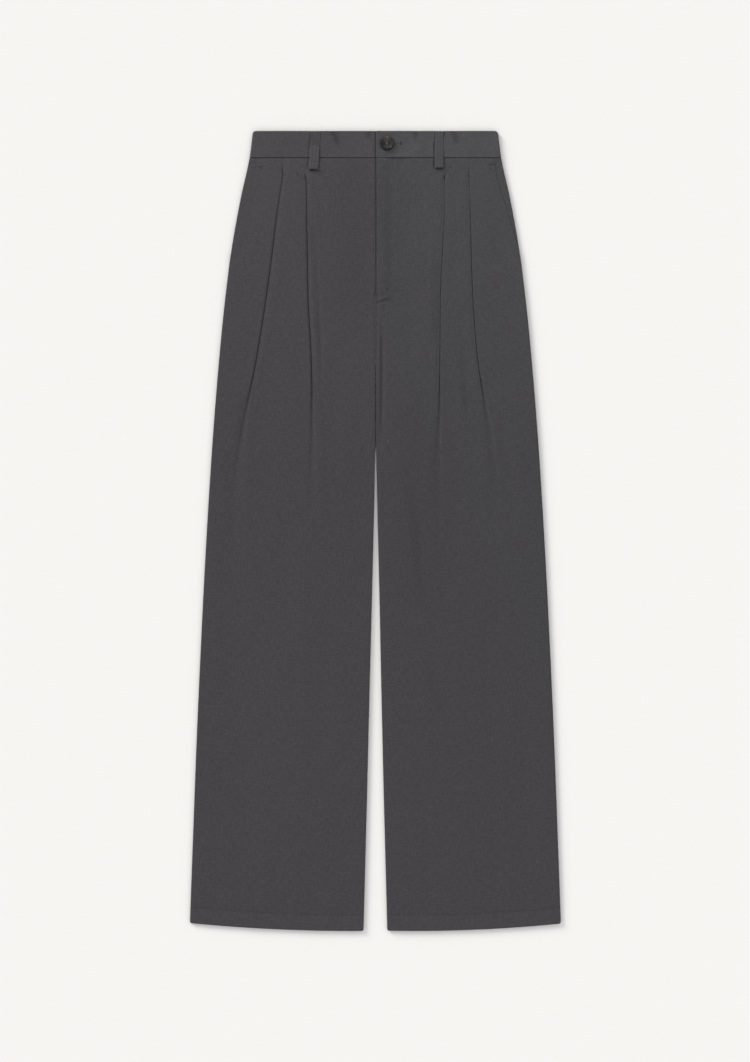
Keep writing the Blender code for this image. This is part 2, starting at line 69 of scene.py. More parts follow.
# %% Camera
LENS = 120.0                 # millimetres
SENSOR = 36.0                # millimetres, along the picture's long side
FIELD = 1.4337               # metres of cloth that the picture shows from top to bottom
CLOTH_TOP = 5 * MM           # height of the cloth that the field is measured at
AIM = (-0.5 * MM, 0.0)       # point under the camera


def add_object(name, data):
    """Put new data into the scene, as an object at the origin."""
    made = bpy.data.objects.new(name, data)
    bpy.context.scene.collection.objects.link(made)
    return made


camera_data = bpy.data.cameras.new("camera")
camera_data.lens = LENS
camera_data.sensor_width = SENSOR
camera = add_object("camera", camera_data)
camera.location = (*AIM, CLOTH_TOP + FIELD * LENS / SENSOR)
bpy.context.scene.camera = camera
print("camera height:", round(camera.location.z, 3))

# %% [markdown]
# ## Light and floor
# A wide soft light straight above keeps the cloth even and darkens every seam and fold a
# little.  One broad lamp, low towards the waist's left end, adds the wider shadow at the right
# side and below the hems.  A few hard lamps would draw each crease too strongly.

# %% Light
SKY_COLOUR = (0.985, 0.99, 1.0)
SKY_STRENGTH = 0.40
OVERHEAD_STRENGTH = 1.53
OVERHEAD_ANGLE = math.radians(130)   # how broad a light looks from the floor
LAMP_STRENGTH = 2.17
LAMP_ANGLE = math.radians(26)
LAMP_TILT = math.radians(67)         # from straight above
LAMP_TURN = math.radians(45)         # towards the left and the waist


def paint(tone, lighter=1.0):
    """A tone as a socket takes it: red, green and blue, and fully solid."""
    return (*(lighter * c for c in tone), 1.0)


world = bpy.data.worlds.new("studio")
world.use_nodes = True
sky = world.node_tree.nodes["Background"]
sky.inputs["Color"].default_value = paint(SKY_COLOUR)
sky.inputs["Strength"].default_value = SKY_STRENGTH
bpy.context.scene.world = world
bpy.context.scene.view_settings.view_transform = "Standard"


def add_lamp(name, strength, angle, tilt):
    """A far lamp, broad in the sky, that stands towards the left end of the waist."""
    data = bpy.data.lights.new(name, "SUN")
    data.energy = strength
    data.angle = angle
    aside = math.sin(tilt)
    toward = Vector((-math.sin(LAMP_TURN) * aside, math.cos(LAMP_TURN) * aside, math.cos(tilt)))
    add_object(name, data).rotation_euler = toward.to_track_quat("Z", "Y").to_euler()


add_lamp("overhead", OVERHEAD_STRENGTH, OVERHEAD_ANGLE, 0.0)
add_lamp("broad_lamp", LAMP_STRENGTH, LAMP_ANGLE, LAMP_TILT)


# %% Nodes and materials
def socket_of(sockets, key=None):
    """A socket by its number, or the one in use with a name, or the first one in use."""
    if isinstance(key, int):
        return sockets[key]
    return next(s for s in sockets if s.enabled and key in (None, s.name))


def add_node(tree, kind, inputs=None, **settings):
    """Add a node to a tree; an input is given a value, or linked to another node's output."""
    node = tree.nodes.new(kind)
    for name, value in settings.items():
        setattr(node, name, value)
    for key, value in (inputs or {}).items():
        place = socket_of(node.inputs, key)
        if isinstance(value, bpy.types.Node):
            value = socket_of(value.outputs)
        if isinstance(value, bpy.types.NodeSocket):
            tree.links.new(value, place)
        else:
            place.default_value = value
    return node


def plain_material(name, **sockets):
    """A material and its tree; even values are set on the shader's own sockets."""
    material = bpy.data.materials.new(name)
    material.use_nodes = True
    shader = material.node_tree.nodes["Principled BSDF"]
    for socket, value in sockets.items():
        shader.inputs[socket.replace("_", " ")].default_value = value
    return material, material.node_tree


# %% Floor
FLOOR_COLOUR = (0.803, 0.793, 0.772)
FLOOR_SIZE = 30.0

pale, _ = plain_material(
    "pale_floor", Base_Color=paint(FLOOR_COLOUR), Roughness=0.9, Specular_IOR_Level=0.0,
)
floor_corners = [(-1, -1), (1, -1), (1, 1), (-1, 1)]
floor_mesh = bpy.data.meshes.new("floor")
floor_mesh.from_pydata(
    [(x * FLOOR_SIZE / 2, y * FLOOR_SIZE / 2, 0) for x, y in floor_corners], [], [(0, 1, 2, 3)]
)
floor_mesh.materials.append(pale)
floor = add_object("floor", floor_mesh)
floor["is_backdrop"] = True
print("floor and lamps are in place")

# %% [markdown]
# ## Twill
# Chino cloth is a cotton twill.  Its warp yarns run along the leg, and each weft yarn steps
# over them one further, so fine slanted ribs appear, about half a millimetre apart.  The yarns
# differ a little in their dye, which gives the dark grey a dry look, slightly streaked both ways,
# and the dye is a touch greyer over the left hip and down that leg's outer side.  A woven
# image could carry this, but waves and noise on the cloth's own flat coordinates follow each
# panel's grain at any distance.  The flat coordinates are in metres: across the panel along
# the cloth, and along its length.

# %% Sizes and tones of the twill
RIB_PITCH = 0.55 * MM        # slanted ribs
RIB_TURN = math.radians(-30)         # of the ribs from the warp
YARN_PITCH = 0.28 * MM       # warp yarns
WAVE_PERIOD = 0.314          # metres between bands of a wave texture of scale 1
STREAK_SIZES = [             # patches of darker and lighter yarn, across and along the grain
    (1.7 * MM, 9 * MM),      # warp
    (8 * MM, 1.7 * MM),      # weft
]
GRAIN_SIZE = 2.2 * MM        # even specks
HIP_TONE_LIT = (0.0537, 0.0505, 0.0552)
LEG_TONE_SHADED = (0.0454, 0.0420, 0.0467)
GREY_TINT = (0.953, 1.015, 0.970)    # where the dye is greyer
GREY_SIDE = (-0.005, 0.035)  # distances across over which the greyer dye sets in, metres
GREY_SLANT = 0.46            # how far that start moves outwards for each metre towards the hem
GREY_OUTWARDS = (0.115, 0.165)       # slanted distances over which it sets in
PATCH_SIZE = 0.040           # of its unevenness, metres
PATCH_RAMP = (0.40, 0.60, 0.25, 1.0)     # noise from, to; share of the greyer dye from, to
TONE_SPAN = (0.08, 0.50)     # heights of painted light: the darker leg tone ends, the lighter hip tone is full
YARN_SPREAD = (0.2, 0.8)     # noise values of the darkest and the lightest yarn
YARN_CONTRAST = (0.85, 1.15)     # how dark and how light those yarns are
YARN_SHARE = 0.3             # of the single yarns in the weave's height
RIB_DEPTH = 0.10 * MM


# %% Patterns for materials
def ramped(tree, value, low, high, dark=0.0, light=1.0):
    """Turn a value between low and high into one between dark and light."""
    return add_node(tree, "ShaderNodeMapRange", {
        "Value": value, "From Min": low, "From Max": high, "To Min": dark, "To Max": light,
    })


def mixed(tree, share, first, second, blend="MIX", kind="RGBA"):
    """Blend two colours, or two values where the kind is FLOAT."""
    return add_node(tree, "ShaderNodeMix", {"Factor": share, "A": first, "B": second},
                    data_type=kind, blend_type=blend)


def shaded(tree, colour, *tones):
    """Multiply a colour by one tone after another."""
    for tone in tones:
        colour = mixed(tree, 1.0, colour, tone, "MULTIPLY")
    return colour


def mapped(tree, place, **changes):
    """A place turned, stretched or moved."""
    return add_node(tree, "ShaderNodeMapping", {"Vector": place, **changes})


def object_place(tree):
    """The place on the piece in metres."""
    return add_node(tree, "ShaderNodeTexCoord").outputs["Object"]


def clouds(tree, place, size, detail=2.0, distortion=0.0):
    """Uneven noise of a size, as values around a half."""
    return add_node(tree, "ShaderNodeTexNoise", {
        "Vector": place, "Scale": 1 / size, "Detail": detail, "Distortion": distortion,
    }).outputs["Fac"]


def stripes(tree, place, pitch, distortion, detail=2.0, detail_scale=1.0, direction="X"):
    """Stripes at a pitch, a little wavy, as values from 0 to 1."""
    return add_node(tree, "ShaderNodeTexWave", {
        "Vector": place, "Scale": WAVE_PERIOD / pitch, "Distortion": distortion,
        "Detail": detail, "Detail Scale": detail_scale,
    }, bands_direction=direction).outputs["Fac"]


def finish_surface(tree, colour, height, strength, depth):
    """Give a tree's shader its colour, and a bump from a height pattern."""
    shader = tree.nodes["Principled BSDF"]
    bump = add_node(tree, "ShaderNodeBump", {
        "Height": height, "Strength": strength, "Distance": depth,
    })
    tree.links.new(bump.outputs["Normal"], shader.inputs["Normal"])
    tree.links.new(socket_of(colour.outputs), shader.inputs["Base Color"])


# %% Twill
def make_twill(name, grain_turn, lighter=1.0):
    """Charcoal twill; grain_turn turns the warp from the panel's length."""
    material, tree = plain_material(
        name, Roughness=0.88, Specular_IOR_Level=0.18, Sheen_Weight=0.10, Sheen_Roughness=0.55,
    )
    flat = add_node(tree, "ShaderNodeUVMap", uv_map="cloth")
    grain = mapped(tree, flat, Rotation=(0, 0, grain_turn))
    slant = mapped(tree, grain, Rotation=(0, 0, RIB_TURN))
    ribs = stripes(tree, slant, RIB_PITCH, distortion=0.9, detail=1.0, detail_scale=0.6)
    yarns = stripes(tree, grain, YARN_PITCH, distortion=0.5, detail=1.0)
    weave = mixed(tree, YARN_SHARE, ribs, yarns, kind="FLOAT")

    streaks = [
        clouds(tree, mapped(tree, grain, Scale=(1 / across, 1 / along, 1)), size=1.0)
        for across, along in STREAK_SIZES
    ]
    streaks.append(clouds(tree, grain, GRAIN_SIZE, detail=3.0))
    place = object_place(tree)
    parts = add_node(tree, "ShaderNodeSeparateXYZ", {"Vector": place})
    side, height = parts.outputs["X"], parts.outputs["Y"]
    # Painted light: the tone is painted lighter from the thighs up to the hips, towards the waist.
    waist_light_share = ramped(tree, height, *TONE_SPAN)
    dye = mixed(tree, waist_light_share, paint(LEG_TONE_SHADED, lighter), paint(HIP_TONE_LIT, lighter))
    slanted = add_node(tree, "ShaderNodeMath", {
        0: height, 1: GREY_SLANT, 2: side,
    }, operation="MULTIPLY_ADD")
    greyer = ramped(tree, clouds(tree, place, PATCH_SIZE, detail=1.0), *PATCH_RAMP)
    for share in (ramped(tree, side, *GREY_SIDE), ramped(tree, slanted, *GREY_OUTWARDS)):
        greyer = add_node(tree, "ShaderNodeMath", {0: greyer, 1: share}, operation="MULTIPLY")
    # Painted shade: this attribute darkens the colour, and where it is below zero it lightens it as
    # painted light.
    painted_shade_value = add_node(tree, "ShaderNodeAttribute", attribute_name="painted_shade").outputs["Fac"]
    dye = shaded(
        tree, dye,
        ramped(tree, painted_shade_value, -1.0, 1.0, 2.0, 0.0),
        *(ramped(tree, streak, *YARN_SPREAD, *YARN_CONTRAST) for streak in streaks),
        mixed(tree, greyer, paint((1, 1, 1)), paint(GREY_TINT)),
    )
    finish_surface(tree, dye, weave, strength=0.6, depth=RIB_DEPTH)
    return material


twill = make_twill("charcoal_twill", 0.0)
# The band's and the loops' copies are painted lighter: painted light, for the brighter light near
# the waist.
twill_across = make_twill("charcoal_twill_across", math.radians(90), lighter=1.06)
twill_strip = make_twill("charcoal_twill_strip", 0.0, lighter=1.10)
print("twill ribs per centimetre:", round(10 * MM / RIB_PITCH, 1))

# %% [markdown]
# ## Reading tables of sizes
# The trousers are described by how wide they are, and how high the cloth lies, at a few
# heights from hem to waist.  A curve object could hold such an outline.  A table with a
# smooth reader is easier to check with a ruler, and it works for any number of rows at once.

# %% Reading tables
def read(table, at, column=1):
    """Smooth value of a table's column at one height or many; rows run up the first column."""
    rows = np.array([(row[0], row[column]) for row in table], float)
    places, values = rows[:, 0], rows[:, 1]
    steps = np.diff(places)
    slopes = np.diff(values) / steps
    tangents = np.concatenate([slopes[:1], slopes[1:], slopes[-1:]])
    low, high = slopes[:-1], slopes[1:]
    same_way = low * high > 0
    total = np.where(same_way, low + high, 1.0)
    tangents[1:-1] = np.where(same_way, 2 * low * high / total, 0.0)
    at = np.clip(at, places[0], places[-1])
    i = np.clip(np.searchsorted(places, at, side="right") - 1, 0, len(steps) - 1)
    t = (at - places[i]) / steps[i]
    return (
        (2 * t**3 - 3 * t**2 + 1) * values[i]
        + (t**3 - 2 * t**2 + t) * steps[i] * tangents[i]
        + (3 * t**2 - 2 * t**3) * values[i + 1]
        + (t**3 - t**2) * steps[i] * tangents[i + 1]
    )


def ease(value):
    """Smooth step from 0 to 1."""
    value = np.clip(value, 0.0, 1.0)
    return value * value * (3 - 2 * value)


# %% [markdown]
# ## The outline of the trousers
# Everything across is measured from the centre front and called u, so both legs share their
# tables.  The wearer's right leg is on the -X side.  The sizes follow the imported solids, with the
# gap between the legs drawn a little finer.

# %% Tables of the outline
WAIST_TOP = 0.540
HEM = -0.540
BAND_DEPTH = 0.036
WAIST_SEAM = WAIST_TOP - BAND_DEPTH
FLY_END = WAIST_SEAM - 0.190         # bottom of the fly opening
CROTCH = 0.235
LEG_FOLD_LENGTH = 0.030
HEM_DEPTH = 0.023
SEAM_GAP = 0.3 * MM
CLOTH = 0.8 * MM             # one layer of twill
SIGN = {"right": -1.0, "left": 1.0}

SIDE = [
    # height, half width
    (-0.540, 0.2506),
    (-0.309, 0.2425),
    (-0.093, 0.2327),
    (0.096, 0.2217),
    (0.258, 0.2087),
    (0.366, 0.1964),
    (0.447, 0.1824),
    (0.504, 0.1700),
    (0.540, 0.1655),
]
LEG_SPACE = [
    # height, half space between the legs, its middle
    (-0.540, 16.0 * MM, 0.0),
    (-0.363, 11.4 * MM, 0.0),
    (-0.228, 8.2 * MM, 0.1 * MM),
    (-0.093, 5.1 * MM, 0.4 * MM),
    (0.040, 1.97 * MM, 0.5 * MM),
    (0.070, 1.42 * MM, 0.45 * MM),
    (0.089, 1.10 * MM, 0.4 * MM),
    (0.104, 0.76 * MM, 0.4 * MM),
    (0.110, 0.50 * MM, 0.5 * MM),
    (0.116, 0.12 * MM, 0.5 * MM),
    (0.150, 0.12 * MM, 0.5 * MM),
    (0.190, 0.12 * MM, 0.4 * MM),
    (0.258, 0.15 * MM, 1.1 * MM),
    (0.296, 0.07 * MM, 1.3 * MM),
    (0.330, 0.15 * MM, 1.3 * MM),
    (0.430, 0.15 * MM, 1.35 * MM),
    (0.504, 0.15 * MM, 1.1 * MM),
    (0.540, 0.15 * MM, 0.7 * MM),
]
FRONT_LEVEL = [
    # height, level of the front cloth's middle
    (-0.540, 4.7 * MM),
    (-0.200, 4.8 * MM),
    (0.100, 5.0 * MM),
    (0.300, 5.1 * MM),
    (0.434, 5.1 * MM),
    (0.504, 5.3 * MM),
]
BACK_LEVEL = 0.6 * MM        # the back's middle, where it lies on the floor
BAND_BACK_LEVEL = 2.3 * MM
BACK_RISE = 0.070            # stretch over which the back climbs onto its belt loops
MEETING_SHARE = 0.30         # side seams lie this far up between back and front
SHOULDER = 0.15 * MM         # how much the front sinks towards a fold
SHOULDER_WIDTH = 14 * MM
HEM_LINE = {"right": (0.034, 10.7 * MM), "left": (0.0535, 10.0 * MM)}    # low point, rise
HEM_CORNER = 2.0 * MM
HEM_STITCH = HEM + HEM_DEPTH - 1.2 * MM
HEM_GROOVE = 0.20 * MM       # how deep the hem's stitches pull the cloth in
HEM_GROOVE_WIDTH = 1.2 * MM
# Painted shade along the hem's stitches, and the cloth below them made a little lighter.
HEM_STITCH_SHADE = 0.05
HEM_LIGHT = 0.04
HEM_FOLLOW = 0.150           # height above the hem over which its curve fades


# %% Edges and levels at any height
def back_level(y):
    return BACK_LEVEL + (BAND_BACK_LEVEL - BACK_LEVEL) * ease((y - WAIST_SEAM) / BACK_RISE + 1)


def meeting_level(y):
    low = back_level(y)
    return low + MEETING_SHARE * (read(FRONT_LEVEL, y) - low)


def round_corner(into, radius):
    """How far a round corner draws an edge in, at a distance into the corner."""
    return radius - np.sqrt(radius**2 - np.clip(into, 0.0, radius) ** 2)


def inner_edge(leg, y):
    """Where a leg's inner edge, or the centre seam above the crotch, lies."""
    middle = SIGN[leg] * read(LEG_SPACE, y, 2)
    return read(LEG_SPACE, y) + middle + round_corner(HEM + HEM_CORNER - y, HEM_CORNER)


def side_edge(y):
    return read(SIDE, y) - round_corner(HEM + HEM_CORNER - y, HEM_CORNER)


def leg_fold(y):
    """0 above the crotch, 1 where the cloth is folded round into a leg."""
    return ease((CROTCH - y) / LEG_FOLD_LENGTH)


def hem_curve(leg, y, u):
    """The hem line sags, and the lowest part of a leg follows it."""
    low_point, rise = HEM_LINE[leg]
    follow = 1 - ease((y - (HEM + HEM_DEPTH)) / HEM_FOLLOW)
    return y + follow * rise * ((u - low_point) / (SIDE[0][1] - low_point)) ** 2


print("waist", round(2 * SIDE[-1][1], 3), "m, hem", round(SIDE[0][1] - LEG_SPACE[0][1], 3), "m")

# %% [markdown]
# ## From sections to a cloth wall
# A panel is a thin wall.  It is drawn as columns that run along the garment: each column has a
# place across and a level at every height.  Solidify could thicken a single sheet, but in a
# pressed pleat it tears where three layers turn in a millimetre.  Here both faces are set off
# from the middle by hand, with mitred corners, and all free edges are rounded.  The flat
# coordinates are the true distances along the cloth, so the weave turns with every fold.

# %% Sections
EDGE_SHARE = 0.28            # thickness left at the very end of a rounded edge
END_COLUMNS = (0.15, 0.4, 0.7)       # extra columns in an edge's first step, as shares of it


class Section:
    """Columns of a wall's middle, from one edge to the other."""

    def __init__(self, places=()):
        self.u, self.z = [], []
        for u, z in places:
            self.add(u, z)

    def add(self, u, z, steps=1, eased=True):
        """Go on to a new place in a number of steps, with a soft rise."""
        start = (self.u[-1], self.z[-1]) if self.u else (u, z)
        for share in np.linspace(0, 1, steps + 1)[1:]:
            self.u.append(start[0] + share * (u - start[0]))
            rise = ease(share) if eased else share
            self.z.append(start[1] + rise * (z - start[1]))

    def end_with(self, curled, steps):
        """Go on to a curled edge in a number of steps, and then out to its very end."""
        self.add(*curled[-1], steps)
        for u, z in curled[-2::-1]:
            self.add(u, z)

    def grid(self, heights):
        """u, z and height as rows by columns, with extra columns for the round edges."""
        rows = len(heights)
        u, z = (
            np.stack([np.broadcast_to(c, rows) for c in values], axis=1)
            for values in (self.u, self.z)
        )
        places = np.arange(u.shape[1], dtype=float)
        extra = np.array(END_COLUMNS)
        wanted = np.sort(np.concatenate([places, extra, places[-1] - extra]))
        left = np.minimum(wanted.astype(int), len(places) - 2)
        share = wanted - left
        u, z = (g[:, left] * (1 - share) + g[:, left + 1] * share for g in (u, z))
        return u, z, heights[:, None] + 0 * u


# %% Walls
def edge_round(distance, radius):
    """Share of the full thickness near a free edge that is round like half a circle."""
    into = np.clip(distance / radius, 0.0, 1.0)
    return np.maximum(np.sqrt(1 - (1 - into) ** 2), EDGE_SHARE)


def along_columns(u, z):
    """Distance along the cloth from its first column."""
    lengths = np.hypot(np.diff(u, axis=1), np.diff(z, axis=1))
    return np.concatenate([np.zeros((len(u), 1)), np.cumsum(lengths, axis=1)], axis=1)


def grid_faces(near, far):
    """Quads between two grids of point numbers of the same shape, laid edge to edge."""
    return np.stack([near[:, :-1], near[:, 1:], far[:, 1:], far[:, :-1]], axis=-1).reshape(-1, 4)


def make_wall(name, sign, u, z, y, above, below, material, painted_shade=None):
    """Closed wall from a grid of its middle; above and below are the distances to its faces."""
    edge = np.hypot(np.diff(u, axis=1), np.diff(z, axis=1))
    normal = np.stack([-np.diff(z, axis=1) / edge, np.diff(u, axis=1) / edge], axis=-1)
    before = np.concatenate([normal[:, :1], normal], axis=1)
    after = np.concatenate([normal, normal[:, -1:]], axis=1)
    mitre = (before + after) / (1 + (before * after).sum(axis=-1, keepdims=True))
    distance = along_columns(u, z)
    radius = (above + below) / 2
    rounded = edge_round(distance, radius) * edge_round(distance[:, -1:] - distance, radius)
    faces_at = []
    for offset in (above * rounded, -below * rounded):
        x = sign * (u + offset * mitre[..., 0])
        faces_at.append(np.stack([x, y, z + offset * mitre[..., 1]], axis=-1).reshape(-1, 3))
    rows, columns = u.shape
    top = np.arange(rows * columns).reshape(rows, columns)
    under = top + rows * columns
    faces = np.concatenate([
        grid_faces(top[:-1], top[1:]),
        grid_faces(under[1:], under[:-1]),
        grid_faces(under[:1], top[:1]),
        grid_faces(top[-1:], under[-1:]),
        grid_faces(top[:, :1].T, under[:, :1].T),
        grid_faces(under[:, -1:].T, top[:, -1:].T),
    ])
    if sign < 0:
        faces = faces[:, ::-1]
    mesh = bpy.data.meshes.new(name)
    mesh.from_pydata(np.concatenate(faces_at).tolist(), [], faces.tolist())
    mesh.polygons.foreach_set("use_smooth", np.ones(len(faces), bool))
    flat = np.stack([distance + u[:, :1], y], axis=-1).reshape(-1, 2)
    layer = mesh.uv_layers.new(name="cloth")
    layer.data.foreach_set("uv", np.concatenate([flat, flat])[faces.ravel()].ravel())
    # Painted shade and light, kept on the points for the twill's colour.
    if painted_shade is not None:
        marks = mesh.attributes.new("painted_shade", "FLOAT", "POINT")
        marks.data.foreach_set("value", np.concatenate([painted_shade.ravel(), painted_shade.ravel()]))
    mesh.materials.append(material)
    return add_object(name, mesh)


def flat_cut(u, z, heights, turned_up=0.0):
    """Width, length and area of a panel laid out flat, with its turned-up hem."""
    widths = along_columns(u, z)[:, -1]
    area = float(np.sum((widths[1:] + widths[:-1]) / 2 * np.diff(heights)))
    length = float(heights[-1] - heights[0])
    return float(widths.max()), length + turned_up, area + turned_up * float(widths[0])


def dress(piece, node):
    """Ride on the one body, and stand for a node."""
    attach(piece, "root")
    if node:
        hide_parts(node)


# %% [markdown]
# ## Creases
# Pressed cloth is never quite even.  A crease is a short route with a width and a depth: a
# soft trough where the depth is below zero, a ridge where it is above.  It fades at both ends.
# Sculpting by hand would do as well, but a table can be read and changed.  A slow ripple, a
# sum of a few waves, keeps the cloth between the creases alive.  Shade is also painted into the
# cloth's colour along many creases, pleats, loops and seams: these are the painted shade marks,
# which paint light where they are below zero, and a few broad ones make wider areas a little
# darker or lighter.

# %% Creases
FADE = 0.30                  # share of a crease's length over which each end fades
RIPPLE_WAVES = 9
RIPPLE_LENGTHS = (0.035, 0.130)      # shortest and longest wave, metres
RIPPLE_ACROSS = 1.6          # the waves are this much shorter across the legs


def crease_relief(x, y, creases):
    """Height that a table of creases adds at each point."""
    relief = np.zeros_like(x)
    for route, width, depth in creases:
        points = np.array(route, float) * MM
        parts = np.hypot(*np.diff(points, axis=0).T)
        total, done = parts.sum(), 0.0
        nearest = np.full_like(x, np.inf)
        along = np.zeros_like(x)
        for start, end, part in zip(points, points[1:], parts):
            way = (end - start) / part
            t = np.clip((x - start[0]) * way[0] + (y - start[1]) * way[1], 0, part)
            away = np.hypot(x - start[0] - t * way[0], y - start[1] - t * way[1])
            closer = away < nearest
            nearest = np.where(closer, away, nearest)
            along = np.where(closer, (done + t) / total, along)
            done += part
        ends = ease(along / FADE) * ease((1 - along) / FADE)
        relief += depth * MM * ends * np.exp(-((nearest / (width * MM)) ** 2))
    return relief


def ripple(x, y, seed, height):
    """Slow uneven waves, the same on every run."""
    draw = np.random.default_rng(seed)
    relief = np.zeros_like(x)
    for _ in range(RIPPLE_WAVES):
        length = draw.uniform(*RIPPLE_LENGTHS)
        turn, phase = draw.uniform(0, 2 * math.pi, 2)
        way = (RIPPLE_ACROSS * math.cos(turn), math.sin(turn))
        relief += np.sin((x * way[0] + y * way[1]) * 2 * math.pi / length + phase)
    return relief * height / math.sqrt(RIPPLE_WAVES)


# %% Tables of creases and painted shade marks
FRONT_CREASES = {
    # route of (x, y), half width and depth, all in millimetres
    "right": [
        ([(-108, 487), (-103, 479), (-96, 471)], 1.6, -1.10),
        ([(-110, 480), (-105, 474), (-99, 469)], 1.8, 0.45),
        ([(-94.8, 482), (-94.2, 470)], 1.5, -0.80),
        ([(-89, 480), (-87, 440), (-84, 395), (-77.5, 312), (-74.8, 251), (-73.4, 175)],
         3.6, -1.10),
        ([(-79, 486), (-72, 484), (-64, 480)], 1.6, -0.85),
        ([(-90, 483), (-82, 485.5), (-72, 480), (-62, 474)], 1.9, 0.40),
        ([(-91.0, 508), (-91.6, 487)], 1.1, -0.90),
        ([(-122.6, 506), (-124.6, 492), (-127.5, 474)], 1.0, -0.50),
        ([(-189, 130), (-193, 40), (-196, -60)], 9.0, -0.50),
        ([(-150, 330), (-166, 250), (-176, 190)], 6.0, -0.45),
        ([(-40, 300), (-52, 200), (-58, 90)], 11.0, -0.55),
        ([(-120, 60), (-128, -60), (-126, -190)], 13.0, -0.55),
        ([(-60, -120), (-72, -230), (-70, -330)], 12.0, -0.45),
        ([(-190, -240), (-176, -340), (-180, -450)], 12.0, -0.45),
        ([(-20, 265), (-60, 240)], 6.0, -0.40),
        ([(-175, 470), (-160, 430)], 5.0, -0.35),
    ],
    "left": [
        ([(104, 494), (98, 485), (94, 477)], 1.5, -0.55),
        ([(109, 488), (102, 480), (96.5, 472)], 1.8, 0.30),
        ([(93.4, 481), (92.6, 472)], 1.6, -0.70),
        ([(79.3, 512), (79.3, 486)], 0.9, -1.60),
        ([(86.5, 370), (85.0, 325), (84.0, 240), (83.5, 175)], 3.0, -0.40),
        ([(84, 405), (81, 330), (80, 232)], 4.0, -1.20),
        ([(116, 252), (121, 190), (126, 135)], 4.5, -0.70),
        ([(0, 308.4), (11.6, 310.8), (17.5, 313.4), (25, 318)], 1.4, -0.75),
        ([(2, 313), (10, 314.6), (15, 317.0)], 1.5, 0.50),
        ([(13.5, 324), (19.5, 328.5)], 1.3, -0.60),
        ([(18.5, 317), (22, 325)], 1.2, 0.45),
        ([(24, 313.5), (20, 308)], 1.4, -0.80),
        ([(25, 318), (31, 327)], 1.3, -0.70),
        ([(17, 309), (15.5, 301)], 1.4, 0.45),
        ([(13, 306), (12, 299)], 1.4, -0.50),
        ([(27, 306), (43, 300)], 1.9, -0.60),
        ([(9.0, 330), (9.2, 316)], 1.2, -0.50),
        ([(9.2, 300), (9.0, 262), (9.0, 190), (8.2, 112)], 1.9, -2.0),
        ([(42, 90), (55, 10), (64, -125)], 8.0, -0.80),
        ([(70, -172), (80, -210), (93, -256)], 6.0, -0.60),
        ([(21, 500), (22, 420), (22, 330)], 8.0, -0.20),
        ([(168, 180), (180, 80), (184, -20)], 9.0, -0.50),
        ([(150, -90), (158, -200), (154, -300)], 13.0, -0.50),
        ([(60, -330), (72, -420), (70, -500)], 10.0, -0.40),
        ([(205, -260), (198, -360), (204, -470)], 10.0, -0.40),
    ],
}
